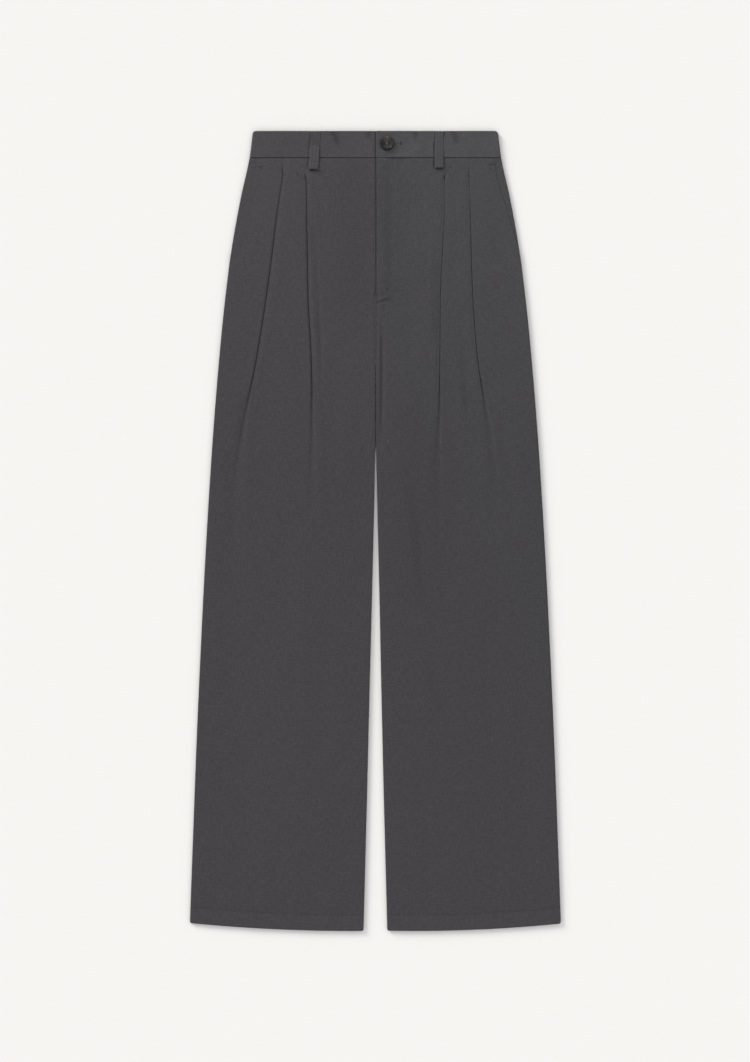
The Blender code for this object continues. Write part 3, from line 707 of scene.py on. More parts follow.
PAINTED_SHADE_MARKS = {
    # route of (x, y) and half width in millimetres, share of painted shade there, painted light
    # below zero
    "right": [
        ([(-30, 560), (-30, 240)], 34.0, 0.10),
        ([(-87, 440), (-84, 395), (-77.5, 312), (-74.8, 251), (-73.4, 175)], 2.4, 0.10),
        ([(-108, 487), (-103, 479), (-96, 471)], 1.4, 0.16),
        ([(-150, 300), (-150, -540)], 70.0, -0.025),
        ([(-94.8, 484), (-94.0, 466)], 1.2, 0.12),
        ([(-79, 486), (-72, 484), (-64, 480)], 1.6, 0.10),
        ([(-90.4, 512), (-91.4, 485)], 0.9, 0.36),
        ([(-89.5, 486.6), (-78.5, 486.6)], 0.8, 0.45),
        ([(-76.2, 510), (-77.2, 486)], 0.8, 0.16),
        ([(0.6, 108), (0.5, 150), (0.3, 205)], 1.9, 0.28),
        ([(-174.5, 192), (-180, 172), (-184, 146), (-186, 118)], 4.2, 0.10),
        ([(-163, 204), (-167.5, 177), (-173, 150)], 2.0, 0.09),
        ([(-92, 490), (-88, 345)], 18.0, 0.035),
        ([(0, 500), (0, 370)], 8.0, 0.03),
        ([(-45, -530), (-20, -530)], 9.0, -0.05),
    ],
    "left": [
        ([(16, 560), (16, 220)], 26.0, 0.06),
        ([(104, 494), (98, 485), (94, 477)], 1.4, 0.09),
        ([(93.0, 481), (92.4, 474)], 1.4, 0.20),
        ([(86, 400), (84.5, 330), (83, 235)], 4.2, 0.09),
        ([(180, 470), (200, 330), (215, 150)], 14.0, -0.04),
        ([(9, 500), (10, 370)], 14.0, 0.04),
        ([(0.6, 108), (0.5, 150), (0.3, 205)], 1.9, 0.28),
        ([(115, 260), (121, 190), (126, 130)], 4.5, 0.07),
        ([(79.3, 512), (79.3, 486.5)], 0.8, 0.45),
        ([(80.5, 488.6), (91.0, 488.6)], 0.7, 0.45),
        ([(87, 400), (84.5, 325), (84, 230), (83, 170)], 2.6, 0.05),
        ([(-3, 308.6), (11.6, 310.6), (17.5, 313.2), (25, 318)], 1.3, 0.27),
        ([(3, 312.8), (10, 314.4), (15, 316.8)], 1.2, -0.10),
        ([(23.0, 312), (21.6, 308)], 1.5, 0.34),
        ([(15, 326.4), (18, 327.4)], 1.5, 0.34),
        ([(28, 322), (30, 327)], 1.5, 0.16),
        ([(8.2, 290), (7.9, 250), (7.5, 190), (6.9, 112)], 2.1, 0.19),
        ([(40, 100), (55, 10), (66, -135)], 7.0, 0.07),
        ([(68, -165), (80, -210), (95, -262)], 6.0, 0.06),
        ([(60, 260), (70, 60), (60, -140)], 34.0, 0.05),
        ([(140, 20), (150, -560)], 70.0, 0.02),
    ],
    "band": [
        ([(-170, 522), (-20, 522)], 30.0, 0.05),
        ([(30, 522), (170, 522)], 30.0, -0.095),
        ([(-64, 549), (-54, 533), (-47, 517)], 4.0, 0.34),
        ([(-10, 552), (-8, 526)], 4.0, 0.32),
        ([(26, 524), (62, 516)], 12.0, -0.08),
        ([(26, 536), (50, 534)], 7.0, -0.06),
        ([(22, 507), (58, 507)], 4.5, -0.04),
        ([(150, 532), (172, 526)], 13.0, -0.08),
        ([(164, 548), (170, 498)], 8.0, -0.09),
        ([(56, 553), (55, 525)], 4.0, 0.28),
        ([(92, 553), (93, 527)], 4.0, 0.23),
        ([(107, 551), (108, 534), (111, 518)], 4.5, 0.31),
        ([(6, 514), (16, 511), (26, 514)], 1.6, -0.08),
        ([(20, 509), (56, 509)], 3.5, -0.14),
        ([(150, 536), (152, 508)], 9.0, -0.05),
        ([(79.3, 529), (79.3, 496)], 0.8, 0.45),
        ([(-88.6, 538), (-91.0, 496)], 0.9, 0.18),
        ([(-75.0, 528), (-76.6, 496)], 0.9, 0.22),
    ],
}
print("creases on the fronts:", sum(len(c) for c in FRONT_CREASES.values()))

# %% [markdown]
# ## Pleats
# Each front has two pleats that point to the side seam.  A pleat is an S in the section: the
# cloth runs out to its fold edge, turns under, runs back for a centimetre, and turns out
# again below.  It is closed by an inside seam for almost three centimetres below the waist, then
# opens, and runs out downwards until only a soft step is left.  So each pleat is drawn from
# tables: where its edge runs, how far it is open, and how wide the groove beside it is.

# %% Tables of the pleats
PLEATS = {
    "right": [
        # height, pleat line
        [(0.000, 0.0831), (0.123, 0.0837), (0.169, 0.0851), (0.251, 0.0877), (0.313, 0.0911),
         (0.362, 0.0920), (0.504, 0.0938)],
        [(0.000, 0.1860), (0.069, 0.1840), (0.128, 0.1785), (0.184, 0.1695), (0.273, 0.1540),
         (0.362, 0.1413), (0.419, 0.1342), (0.462, 0.1278), (0.504, 0.1216)],
    ],
    "left": [
        [(0.000, 0.0818), (0.113, 0.0831), (0.157, 0.0859), (0.244, 0.0877), (0.321, 0.0884),
         (0.389, 0.0918), (0.427, 0.0935), (0.504, 0.0936)],
        [(0.000, 0.1600), (0.069, 0.1590), (0.123, 0.1547), (0.180, 0.1463), (0.228, 0.1392),
         (0.278, 0.1345), (0.350, 0.1307), (0.427, 0.1287), (0.474, 0.1271), (0.504, 0.1242)],
    ],
}
PLEAT_OPENING = [
    # height, hidden underlay, fold angle in degrees, length of each bend
    (0.000, 0.2 * MM, 1.0, 8.0 * MM),
    (0.069, 0.2 * MM, 10.0, 5.5 * MM),
    (0.123, 0.2 * MM, 29.0, 3.0 * MM),
    (0.165, 0.2 * MM, 58.0, 2.0 * MM),
    (0.205, 0.3 * MM, 125.0, 1.5 * MM),
    (0.258, 3.0 * MM, 180.0, 1.5 * MM),
    (0.366, 9.0 * MM, 180.0, 1.5 * MM),
    (0.440, 8.0 * MM, 180.0, 1.5 * MM),
    (0.462, 3.0 * MM, 180.0, 1.5 * MM),
    (0.472, 0.4 * MM, 115.0, 1.4 * MM),
    (0.480, 0.2 * MM, 30.0, 1.6 * MM),
    (0.486, 0.2 * MM, 5.0, 3.0 * MM),
    (0.504, 0.2 * MM, 2.0, 4.0 * MM),
]
PLEAT_HABIT = {
    # how much further up each pleat opens and runs out, how wide its groove is, and how much
    # painted light lies beside it
    "right": [(0.0, 7 * MM, 0.85, 0.08), (9 * MM, 28 * MM, 0.8, 0.05)],
    "left": [(0.0, 24 * MM, 0.42, 0.03), (5 * MM, 34 * MM, 0.60, 0.02)],
}
PLEAT_RAISE_SPAN = (0.400, 0.460)    # heights where opening further up sets in
PLEAT_RUNNING_OUT = (0.160, 0.260)   # heights between which a pleat runs out
PLEAT_LIGHT_PLACE = 4 * MM   # of the painted light, beyond the pleat line
PLEAT_LIGHT_WIDTH = 1.5 * MM
PLEAT_LIGHT_SPAN = (0.210, 0.270)    # heights where it sets in
PLEAT_SHADE = 0.075          # painted shade along a pleat's groove
PLEAT_SHADE_WIDTH = 2.1 * MM
PLEAT_SHADE_START = (0.160, 0.215)   # heights where that sets in, and where it ends
PLEAT_SHADE_END = (0.420, 0.465)
PLEAT_GROOVE = [
    # height, bottom of the groove beside the fold, its far lip, how much of the fold is drawn in
    (0.000, 1.5 * MM, 8.0 * MM, 0.30),
    (0.123, 1.2 * MM, 5.0 * MM, 0.25),
    (0.165, 0.9 * MM, 3.2 * MM, 0.16),
    (0.205, 0.6 * MM, 2.6 * MM, 0.13),
    (0.380, 0.6 * MM, 2.4 * MM, 0.13),
    (0.427, 0.5 * MM, 1.5 * MM, 0.13),
    (0.462, 0.3 * MM, 0.9 * MM, 0.13),
    (0.480, 0.6 * MM, 1.8 * MM, 0.20),
    (0.504, 1.5 * MM, 6.0 * MM, 0.30),
]
FLAT_EDGE = 1.5 * MM         # shortest flat stretch between two folds
PLEAT_APPROACH = 25 * MM     # columns stand closer from here on
PLEAT_RUN_IN = 11 * MM       # the cloth starts to rise this far before the hidden edge
PLEAT_PLATEAU = 5.2 * MM     # and is up this far before it
PLEAT_ROUNDING = 5 * MM      # stretch over which the cloth sinks towards its fold
PLEAT_ROUND = 0.45 * MM      # how far it sinks there
PLEAT_RUN_OUT = 8 * MM       # columns stand closer up to here
BEND_STEPS = 8
UNDERLAY_STEPS = 5


# %% Section through a pleat
def between(y, span):
    """Smooth step from 0 at the lower height of a span to 1 at the upper one."""
    low, high = span
    return ease((y - low) / (high - low))


def add_pleat(section, line, y, habit, steps_before):
    """Go on through one pleat; line is where the middle of its groove shows."""
    level = read(FRONT_LEVEL, y)
    raised, run_out, width, _ = habit
    y = y - raised * between(y, PLEAT_RAISE_SPAN) - run_out * (1 - between(y, PLEAT_RUNNING_OUT))
    underlay, degrees, bend = (read(PLEAT_OPENING, y, column) for column in (1, 2, 3))
    angle = np.radians(degrees)
    radius = bend / angle
    drop = 2 * radius * (1 - np.cos(angle)) + underlay * np.sin(angle)
    foot, lip = (width * read(PLEAT_GROOVE, y, column) for column in (1, 2))
    standing = read(PLEAT_GROOVE, y, 3)
    edge = line - lip / 2
    crest = level + standing * drop
    u = edge - (radius + CLOTH / 2) * np.sin(np.minimum(angle, math.pi / 2))
    under_edge = u - underlay * np.maximum(-np.cos(angle), 0.0)
    start = np.maximum(under_edge - PLEAT_RUN_IN, section.u[-1] + FLAT_EDGE)
    section.add(start, level, steps_before)
    section.add(under_edge - PLEAT_PLATEAU, crest, steps=5)
    section.add(u - PLEAT_ROUNDING, crest, steps=2)
    z = crest - PLEAT_ROUND * np.minimum(angle / math.pi, 1.0)
    section.add(u, z, steps=6)
    for turn in angle * np.linspace(0, 1, BEND_STEPS + 1)[1:, None]:
        section.add(u + radius * np.sin(turn), z - radius * (1 - np.cos(turn)))
    u = u + radius * np.sin(angle) + underlay * np.cos(angle)
    z = z - radius * (1 - np.cos(angle)) - underlay * np.sin(angle)
    section.add(u, z, UNDERLAY_STEPS, eased=False)
    for turn in angle * np.linspace(1, 0, BEND_STEPS + 1)[1:, None]:
        section.add(
            u + radius * (np.sin(angle) - np.sin(turn)),
            z - radius * (np.cos(turn) - np.cos(angle)),
        )
    tail = np.maximum(edge, section.u[-1])
    section.add(tail + foot, section.z[-1])
    section.add(tail + lip, level, steps=3)
    section.add(tail + lip + PLEAT_RUN_OUT, level, steps=4)


# %% [markdown]
# ## Fronts
# A front runs from the centre to the side.  Its inner edge is the fly above, then the centre
# seam, and below the crotch it folds round into the leg.  At the side it stops at the slanted
# pocket edge, and below the pocket it folds round to meet the back.  The wearer's left front
# laps over the right one along the fly.

# %% Sizes of the fronts
POCKET_SET_BACK = [
    # height, distance of the pocket's edge from the side fold
    (0.373, 0.0),
    (0.404, 4.0 * MM),
    (0.439, 8.0 * MM),
    (0.471, 11.5 * MM),
    (0.504, 10.0 * MM),
]
POCKET_END = POCKET_SET_BACK[0][0]
POCKET_CLOSE = 0.028         # length below the pocket over which the edge folds down
POCKET_THIN = 0.65           # share of thickness that the pressed pocket edge loses
POCKET_THIN_WIDTH = 5 * MM
POCKET_THIN_LENGTH = 10 * MM
FLY_LAP = 8 * MM             # how far the right front runs on under the left one
FLY_LEFT_LIFT = 1.3 * MM
FLY_RIGHT_SINK = 0.9 * MM
FLY_CLEAR = 1.5 * MM         # the left front stays lifted this far beyond the lap
FLY_EASE = 12 * MM           # width over which both fronts come back to their level
FLY_GROOVE = [
    # height, width of the groove in front of the lapping edge, rise of the cloth before it
    (0.312, 1.4 * MM, 0.05 * MM),
    (0.420, 1.7 * MM, 0.20 * MM),
    (0.504, 2.1 * MM, 0.50 * MM),
]
FLY_EDGE_DROP = 0.5 * MM     # how much the lapping edge is pressed down
FLY_EDGE_WIDTH = 2.2 * MM
CENTRE_DIP = 0.5 * MM        # how much both fronts sink into the centre seam below the fly
CENTRE_DIP_WIDTH = 3.5 * MM
FLY_FACING = 34 * MM         # second layer behind the lapping edge
FLY_LAP_START = 8 * MM       # height over which the lap grows to its width
FLY_SETTLE = 18 * MM         # height over which the fronts part in level
FLY_LOW = FLY_END - 3 * MM   # where the lapping edge starts to stand up
CURL_STEPS = 8
FULL_FOLD = 0.22             # how far the fronts' folds reach in, as a share of their height
HOLD_WIDTH = 9 * MM          # creases fade this close to a seam
SEAM_SINK = 0.5 * MM         # how far the cloth dips into the waist seam
SEAM_SINK_LENGTH = 3 * MM
FRONT_RIPPLE = {"right": (8, 0.16 * MM), "left": (7, 0.16 * MM)}     # seed and height
HEM_LAYER_INSET = 4 * MM     # the hem's second layer starts this far from the side edges
HEM_LAYER_EASE = 2 * MM      # width over which it grows to its thickness
HEM_LAYER_END = 1 * MM       # height over which it ends at the top of the hem
FLY_FACING_EASE = 3 * MM     # width over which the fly's second layer ends
FLY_FACING_TOP = WAIST_SEAM - 1 * MM
FLY_FACING_TOP_EASE = 2 * MM         # height over which it ends there


# %% Section of a front
def curl(edge, inward, level, end_level, folded, thickness=CLOTH, reach_share=1.0):
    """Places from a cloth edge's very end inwards; folded 1 turns it down a quarter circle."""
    depth = folded * (level - end_level)
    reach = FLAT_EDGE + folded * (reach_share * np.abs(level - end_level) - FLAT_EDGE)
    places = []
    for share in np.linspace(0, 1, CURL_STEPS + 1):
        turn = share * math.pi / 2
        across = share + folded * (1 - math.cos(turn) - share)
        u = edge + inward * (folded * thickness / 2 + reach * across)
        places.append((u, level - depth * (1 - math.sin(turn))))
    return places


def front_section(leg, y):
    level = read(FRONT_LEVEL, y)
    end_level = meeting_level(y) + SEAM_GAP / 2
    folded = leg_fold(y)
    on_fly = ease((y - FLY_LOW) / FLY_SETTLE)
    edge = inner_edge(leg, y)
    groove, lip = (read(FLY_GROOVE, y, column) for column in (1, 2))
    near_level = level - SHOULDER * folded - CENTRE_DIP * (1 - on_fly) * (1 - folded)
    if leg == "left":
        near_level = near_level + FLY_LEFT_LIFT * on_fly
        flat_end = edge + CENTRE_DIP_WIDTH + (FLY_LAP + FLY_CLEAR - CENTRE_DIP_WIDTH) * on_fly
        lip_level = level + FLY_LEFT_LIFT * on_fly
    else:
        near_level = near_level - FLY_RIGHT_SINK * on_fly
        flat_end = edge + CENTRE_DIP_WIDTH + (groove - CENTRE_DIP_WIDTH) * on_fly
        lip_level = level + lip * on_fly
        lapped = np.clip((y - FLY_END) / FLY_LAP_START - 1, 0.0, 1.0)
        edge = edge - FLY_LAP * lapped
    section = Section(curl(edge, 1, near_level, end_level, folded, reach_share=FULL_FOLD))
    lip_start = flat_end - CENTRE_DIP_WIDTH + (CENTRE_DIP_WIDTH - groove) * on_fly
    section.add(np.maximum(lip_start, section.u[-1] + SEAM_GAP), near_level, steps=5)
    section.add(np.maximum(flat_end, section.u[-1] + SEAM_GAP), lip_level, steps=4)
    section.add(section.u[-1] + FLY_EASE, level, steps=6)
    section.add(read(PLEATS[leg][0], y) - PLEAT_APPROACH, level, steps=14)
    for line, habit, steps in zip(PLEATS[leg], PLEAT_HABIT[leg], (20, 16)):
        add_pleat(section, read(line, y), y, habit, steps)
    turned = ease((POCKET_END - y) / POCKET_CLOSE)
    side = side_edge(y) - read(POCKET_SET_BACK, y)
    far = curl(side, -1, level - SHOULDER * turned, end_level, turned, reach_share=FULL_FOLD)
    section.add(side - SHOULDER_WIDTH, level, steps=14)
    section.end_with(far, steps=5)
    return section


# %% [markdown]
# A panel's rows stand close where it is stitched, creased or folded, and further apart in the
# plain leg.  A leg panel is also doubled in its hem, and it is held still along its seams, so
# that a crease dies away before it reaches them.

# %% Rows and layers of a leg panel
def spaced(start, *stretches):
    """Heights upwards from a start; each stretch is its end and the step it aims at."""
    found = []
    for end, step in stretches:
        found.append(np.linspace(start, end, max(round((end - start) / step), 1) + 1))
        start = end
    return np.unique(np.round(np.concatenate(found), 6))


def leg_heights(*stretches):
    """Heights up a leg panel, close at its hem and at its waist seam."""
    hem_top = HEM + HEM_DEPTH
    return spaced(
        HEM, (HEM + 1 * MM, 0.2 * MM), (hem_top - 1 * MM, 3 * MM), (hem_top + 1 * MM, 0.5 * MM),
        *stretches, (WAIST_SEAM - SEAM_GAP / 2, 0.5 * MM),
    )


def sides_held(u, z, start=0.0, width=HOLD_WIDTH):
    """0 up to a start from either side edge, and 1 once a further width is passed."""
    near = along_columns(u, z)
    far = near[:, -1:] - near
    return ease((near - start) / width) * ease((far - start) / width)


def hold(u, z, y):
    """0 at every seam, 1 in the open cloth, so that creases leave the seams in place."""
    return sides_held(u, z) * ease((WAIST_SEAM - y) / HOLD_WIDTH)


def hem_layer(u, z, y):
    """Thickness of the turned-up second layer: full in the hem, none in the curled edges."""
    above_hem = ease((y - (HEM + HEM_DEPTH - HEM_LAYER_END / 2)) / HEM_LAYER_END)
    return CLOTH * sides_held(u, z, HEM_LAYER_INSET, HEM_LAYER_EASE) * (1 - above_hem)


def fly_layer(u, z, y):
    """Thickness of the layer folded back behind the lapping edge."""
    along = ease((y - FLY_END) / FLY_SETTLE) * ease((FLY_FACING_TOP - y) / FLY_FACING_TOP_EASE)
    return CLOTH * along * ease((FLY_FACING - along_columns(u, z)) / FLY_FACING_EASE)


def leg_panel(leg, section, heights):
    """A leg panel's columns u and z, its rows, its real x and y, and the size of its cut."""
    u, z, rows = section.grid(heights)
    cut = flat_cut(u, z, heights, HEM_DEPTH)
    return u, z, rows, SIGN[leg] * u, hem_curve(leg, rows, u), cut


def leg_thickness(u, z, rows):
    """Half of the cloth on a panel's outer side, and that with the hem's second layer inside."""
    raw_edge = edge_round(WAIST_SEAM - SEAM_GAP / 2 - rows, CLOTH / 2)
    fold = edge_round(rows - HEM, CLOTH)
    outer = CLOTH / 2 * raw_edge * fold
    return outer, outer + hem_layer(u, z, rows) * fold


LEG_HEIGHTS = leg_heights(
    (0.0, 9 * MM), (0.102, 8.5 * MM), (0.120, 3 * MM), (0.165, 6 * MM), (0.288, 3.6 * MM),
    (0.332, 1.2 * MM), (0.452, 4 * MM), (WAIST_SEAM - 4 * MM, 1.2 * MM),
)
print("rows up a front:", len(LEG_HEIGHTS))


# %% Fronts
def pleat_painted_shade(leg, x, rows):
    """Painted shade and light of both pleats: painted darker in the groove, painted a little
    lighter beside it.
    """
    marks = np.zeros_like(x)
    for line, (_, _, _, lighter) in zip(PLEATS[leg], PLEAT_HABIT[leg]):
        away = x - SIGN[leg] * read(line, rows)
        beside = np.exp(-(((away - PLEAT_LIGHT_PLACE) / PLEAT_LIGHT_WIDTH) ** 2))
        marks = marks - lighter * beside * between(rows, PLEAT_LIGHT_SPAN)
        along = between(rows, PLEAT_SHADE_START) * (1 - between(rows, PLEAT_SHADE_END))
        marks = marks + PLEAT_SHADE * np.exp(-((away / PLEAT_SHADE_WIDTH) ** 2)) * along
    return marks


def make_front(leg):
    u, z, rows, x, y, cut = leg_panel(leg, front_section(leg, LEG_HEIGHTS), LEG_HEIGHTS)
    relief = crease_relief(x, y, FRONT_CREASES[leg]) + ripple(x, y, *FRONT_RIPPLE[leg])
    z = z + relief * hold(u, z, rows)
    z = z - SEAM_SINK * (1 - ease((WAIST_SEAM - rows) / SEAM_SINK_LENGTH))
    above, below = leg_thickness(u, z, rows)
    distance = along_columns(u, z)
    if leg == "left":
        on_fly = ease((rows - FLY_LOW) / FLY_SETTLE)
        z = z - FLY_EDGE_DROP * on_fly * (1 - ease(distance / FLY_EDGE_WIDTH))
        below = below + fly_layer(u, z, rows)
    at_pocket = ease((rows - POCKET_END) / POCKET_THIN_LENGTH)
    near_edge = 1 - ease((distance[:, -1:] - distance) / POCKET_THIN_WIDTH)
    above = above * (1 - POCKET_THIN * at_pocket * near_edge)
    on_stitch = np.exp(-(((rows - HEM_STITCH) / HEM_GROOVE_WIDTH) ** 2))
    z = z - HEM_GROOVE * on_stitch * hold(u, z, rows)
    # Painted shade along creases, pleats, loops and seams, painted light where below zero, and the
    # hem's painted shade.
    painted_shade = crease_relief(x, y, PAINTED_SHADE_MARKS[leg]) / MM + pleat_painted_shade(leg, x, rows)
    painted_shade = painted_shade + HEM_STITCH_SHADE * on_stitch - HEM_LIGHT * (rows < HEM_STITCH)
    piece = make_wall("trouser_front_" + leg, SIGN[leg], u, z, y, above, below, twill, painted_shade)
    dress(piece, "front_" + leg)
    return piece


fronts = {leg: make_front(leg) for leg in ("right", "left")}

# %% [markdown]
# ## Backs
# The backs lie on the floor, outer side down.  They are plain: one piece a leg, folded round
# at the side and at the inseam to meet the front.  The cloth can only rise from the floor, so
# its creases are ridges here, which are grooves seen from the outer side.

# %% Backs
BACK_CREASES = {
    # route of (x, y), half width and height, all in millimetres
    "right": [
        ([(-6, 330), (-60, 300), (-120, 292)], 9.0, 0.60),
        ([(-10, 268), (-50, 228), (-100, 214)], 8.0, 0.70),
        ([(-14, 235), (-40, 190), (-78, 168)], 6.0, 0.45),
        ([(-190, 60), (-120, 40), (-60, 52)], 10.0, 0.45),
        ([(-60, -20), (-120, -48), (-180, -40)], 9.0, 0.55),
        ([(-70, -90), (-84, -200), (-80, -300)], 13.0, 0.40),
        ([(-170, -180), (-164, -300), (-172, -420)], 12.0, 0.45),
        ([(-110, -360), (-114, -440), (-108, -520)], 9.0, 0.35),
        ([(-140, 440), (-128, 380), (-124, 320)], 7.0, 0.35),
    ],
    "left": [
        ([(6, 345), (52, 312), (104, 300)], 8.0, 0.50),
        ([(10, 262), (58, 232), (118, 222)], 9.0, 0.70),
        ([(14, 228), (34, 182), (66, 150)], 6.0, 0.50),
        ([(196, 84), (140, 58), (70, 62)], 9.0, 0.50),
        ([(48, -4), (110, -36), (176, -30)], 10.0, 0.50),
        ([(64, -120), (78, -220), (72, -330)], 12.0, 0.45),
        ([(180, -150), (174, -270), (184, -390)], 13.0, 0.40),
        ([(120, -330), (128, -420), (122, -505)], 9.0, 0.40),
        ([(150, 430), (136, 372), (132, 330)], 7.0, 0.30),
    ],
}
BACK_HEIGHTS = leg_heights((0.102, 6 * MM), (0.120, 3 * MM), (WAIST_SEAM - 4 * MM, 6 * MM))
BACK_RIPPLE = {"right": (13, 0.10 * MM), "left": (12, 0.10 * MM)}    # seed and height


def back_section(leg, y):
    level = back_level(y)
    end_level = meeting_level(y) - SEAM_GAP / 2
    section = Section(curl(inner_edge(leg, y), 1, level, end_level, leg_fold(y)))
    section.end_with(curl(side_edge(y), -1, level, end_level, 1.0), steps=64)
    return section


def make_back(leg):
    u, z, rows, x, y, cut = leg_panel(leg, back_section(leg, BACK_HEIGHTS), BACK_HEIGHTS)
    relief = crease_relief(x, y, BACK_CREASES[leg]) + ripple(x, y, *BACK_RIPPLE[leg])
    z = z + np.maximum(relief, 0.0) * hold(u, z, rows)
    below, above = leg_thickness(u, z, rows)
    piece = make_wall("trouser_back_" + leg, SIGN[leg], u, z, y, above, below, twill)
    dress(piece, "back_" + leg)
    return piece


backs = {leg: make_back(leg) for leg in ("right", "left")}

# %% [markdown]
# ## Pocket facings
# Outside the slanted pocket edge a facing shows.  It lies under the front, and it carries the
# side fold there.  It is drawn from the same sections, one layer lower.

# %% Pocket facings
POCKET_TUCK = 10 * MM        # how far the facing runs in under the front
FACING_GAP = 0.1 * MM
FACING_RISE = 0.6 * MM       # where the facing is caught in the waist seam
FACING_RISE_LENGTH = 8 * MM
FACING_EASE = 2 * MM         # the rise sets in over this width beyond the pocket's edge


def make_facing(leg):
    heights = spaced(POCKET_END, (WAIST_SEAM - SEAM_GAP / 2, 3 * MM))
    level = read(FRONT_LEVEL, heights) - CLOTH - FACING_GAP
    side = read(SIDE, heights)
    pocket_edge = side - read(POCKET_SET_BACK, heights)
    end_level = meeting_level(heights) + SEAM_GAP / 2
    section = Section([(pocket_edge - POCKET_TUCK, level)])
    section.end_with(curl(side, -1, level, end_level, 1.0, reach_share=FULL_FOLD), steps=8)
    u, z, rows = section.grid(heights)
    shown = ease((u - pocket_edge[:, None]) / FACING_EASE)
    z = z + FACING_RISE * shown * ease((rows - WAIST_SEAM) / FACING_RISE_LENGTH + 1)
    ends = edge_round(heights[-1] - rows, CLOTH / 2) * edge_round(rows - heights[0], CLOTH / 2)
    half = CLOTH / 2 * ends
    piece = make_wall("pocket_facing_cloth_" + leg, SIGN[leg], u, z, rows, half, half, twill)
    dress(piece, "pocket_facing_" + leg)


for leg in ("right", "left"):
    make_facing(leg)

# %% [markdown]
# ## Waistband
# The waistband is two layers of twill with a stiffener between them, so it is thicker and
# smoother than the legs, and its top edge is a round fold.  Its grain runs along the band.  It
# has three pieces: two fronts that lap behind the button, and one round the back.

# %% Sizes of the waistband
BAND_CLOTH = 1.5 * MM
BAND_FRONT_LEVEL = 5.5 * MM
BAND_MEETING_SHARE = 0.34    # its ends meet this far up between back and front
UNDERLAP = 30 * MM
BAND_LEFT_LIFT = 0.6 * MM    # of the left end, where it lies on the underlap
BAND_UNDERLAP_SINK = 1.3 * MM
BAND_CLEAR = 2 * MM          # the left end stays lifted this far beyond the underlap
BAND_EASE = 14 * MM          # width over which both ends come back to their level
BAND_CORNER = 4.5 * MM       # radius of the upper corners at the sides
BAND_CORNER_SHARE = 0.8      # how much of that they draw in
BAND_HEIGHTS = spaced(
    WAIST_SEAM + SEAM_GAP / 2, (WAIST_SEAM + 1.2 * MM, 0.15 * MM), (WAIST_TOP - 5 * MM, 1.6 * MM),
    (WAIST_TOP - 1 * MM, 0.8 * MM), (WAIST_TOP, 0.15 * MM),
)
BAND_RIPPLE = {"right": (26, 0.16 * MM), "left": (25, 0.16 * MM)}    # seed and height
BAND_CREASE_EASE = 5 * MM    # height over which creases set in above the waist seam
BAND_CREASES = [
    # route of (x, y), half width and depth, all in millimetres
    ([(-62, 545), (-54, 532), (-46, 519)], 4.0, -0.90),
    ([(-10, 546), (-8, 529)], 3.5, -0.75),
    ([(57, 547), (55, 528)], 4.0, -0.80),
    ([(92, 547), (93, 530)], 3.5, -0.70),
    ([(106, 546), (108, 532), (112, 519)], 4.0, -0.85),
    ([(-130, 524), (-112, 520), (-96, 522)], 5.0, -0.40),
    ([(36, 515), (52, 514), (70, 517)], 4.0, 0.45),
    ([(126, 520), (142, 523), (156, 519)], 5.0, 0.40),
    ([(79.3, 528), (79.3, 496)], 0.8, -1.50),
    ([(77.2, 530), (77.2, 498)], 1.2, 0.20),
    ([(-89.2, 536), (-90.6, 500)], 1.0, -0.55),
    ([(-74.6, 524), (-76.2, 500)], 1.0, -0.60),
]
LOOP_WIDTH = {"right": 13.0 * MM, "left": 11.8 * MM, "back": 12.5 * MM}
LOOP_DROP = {"right": 16.5 * MM, "left": 14.6 * MM, "back": 15.5 * MM}    # below the waist seam
FRONT_LOOPS = {
    # x at the top and at the lower end, how much its right edge stands higher, in millimetres
    "right": (-80.4, -83.6, -0.05),
    "left": (86.0, 86.0, -0.20),
}
LOOP_SPAN = (72 * MM, 94 * MM)       # stretch of the band where its columns stand close
LOOP_BED = 0.7 * MM          # how far the band gives way under a loop
LOOP_BED_SLOPE = 1.0 * MM
LOOP_BED_SPAN = (0.513, 0.522)       # heights where the bed starts and is full
BAND_GROOVE = 2.2 * MM       # in front of the lapping end
BAND_LIP = 0.35 * MM         # how much the cloth beside that groove stands up


# %% Parts of the waistband
def band_side(y):
    draw = round_corner(y - (WAIST_TOP - BAND_CORNER), BAND_CORNER)
    return read(SIDE, y) - BAND_CORNER_SHARE * draw


band_meeting = BAND_BACK_LEVEL + BAND_MEETING_SHARE * (BAND_FRONT_LEVEL - BAND_BACK_LEVEL)


def band_thickness(rows):
    """Half of the band's thickness, with a round fold on top and a turned-in lower edge."""
    half = BAND_CLOTH / 2
    lower = edge_round(rows - (WAIST_SEAM + SEAM_GAP / 2), half)
    return half * lower * edge_round(WAIST_TOP - rows, half)


def loop_bed(leg, x, y):
    """How far the band gives way under the upper part of a belt loop."""
    x_top, x_bottom, _ = FRONT_LOOPS[leg]
    middle = (x_bottom + (y - WAIST_SEAM) / BAND_DEPTH * (x_top - x_bottom)) * MM
    inside = (LOOP_WIDTH[leg] / 2 + LOOP_BED_SLOPE - np.abs(x - middle)) / LOOP_BED_SLOPE
    return LOOP_BED * ease(inside) * between(y, LOOP_BED_SPAN)


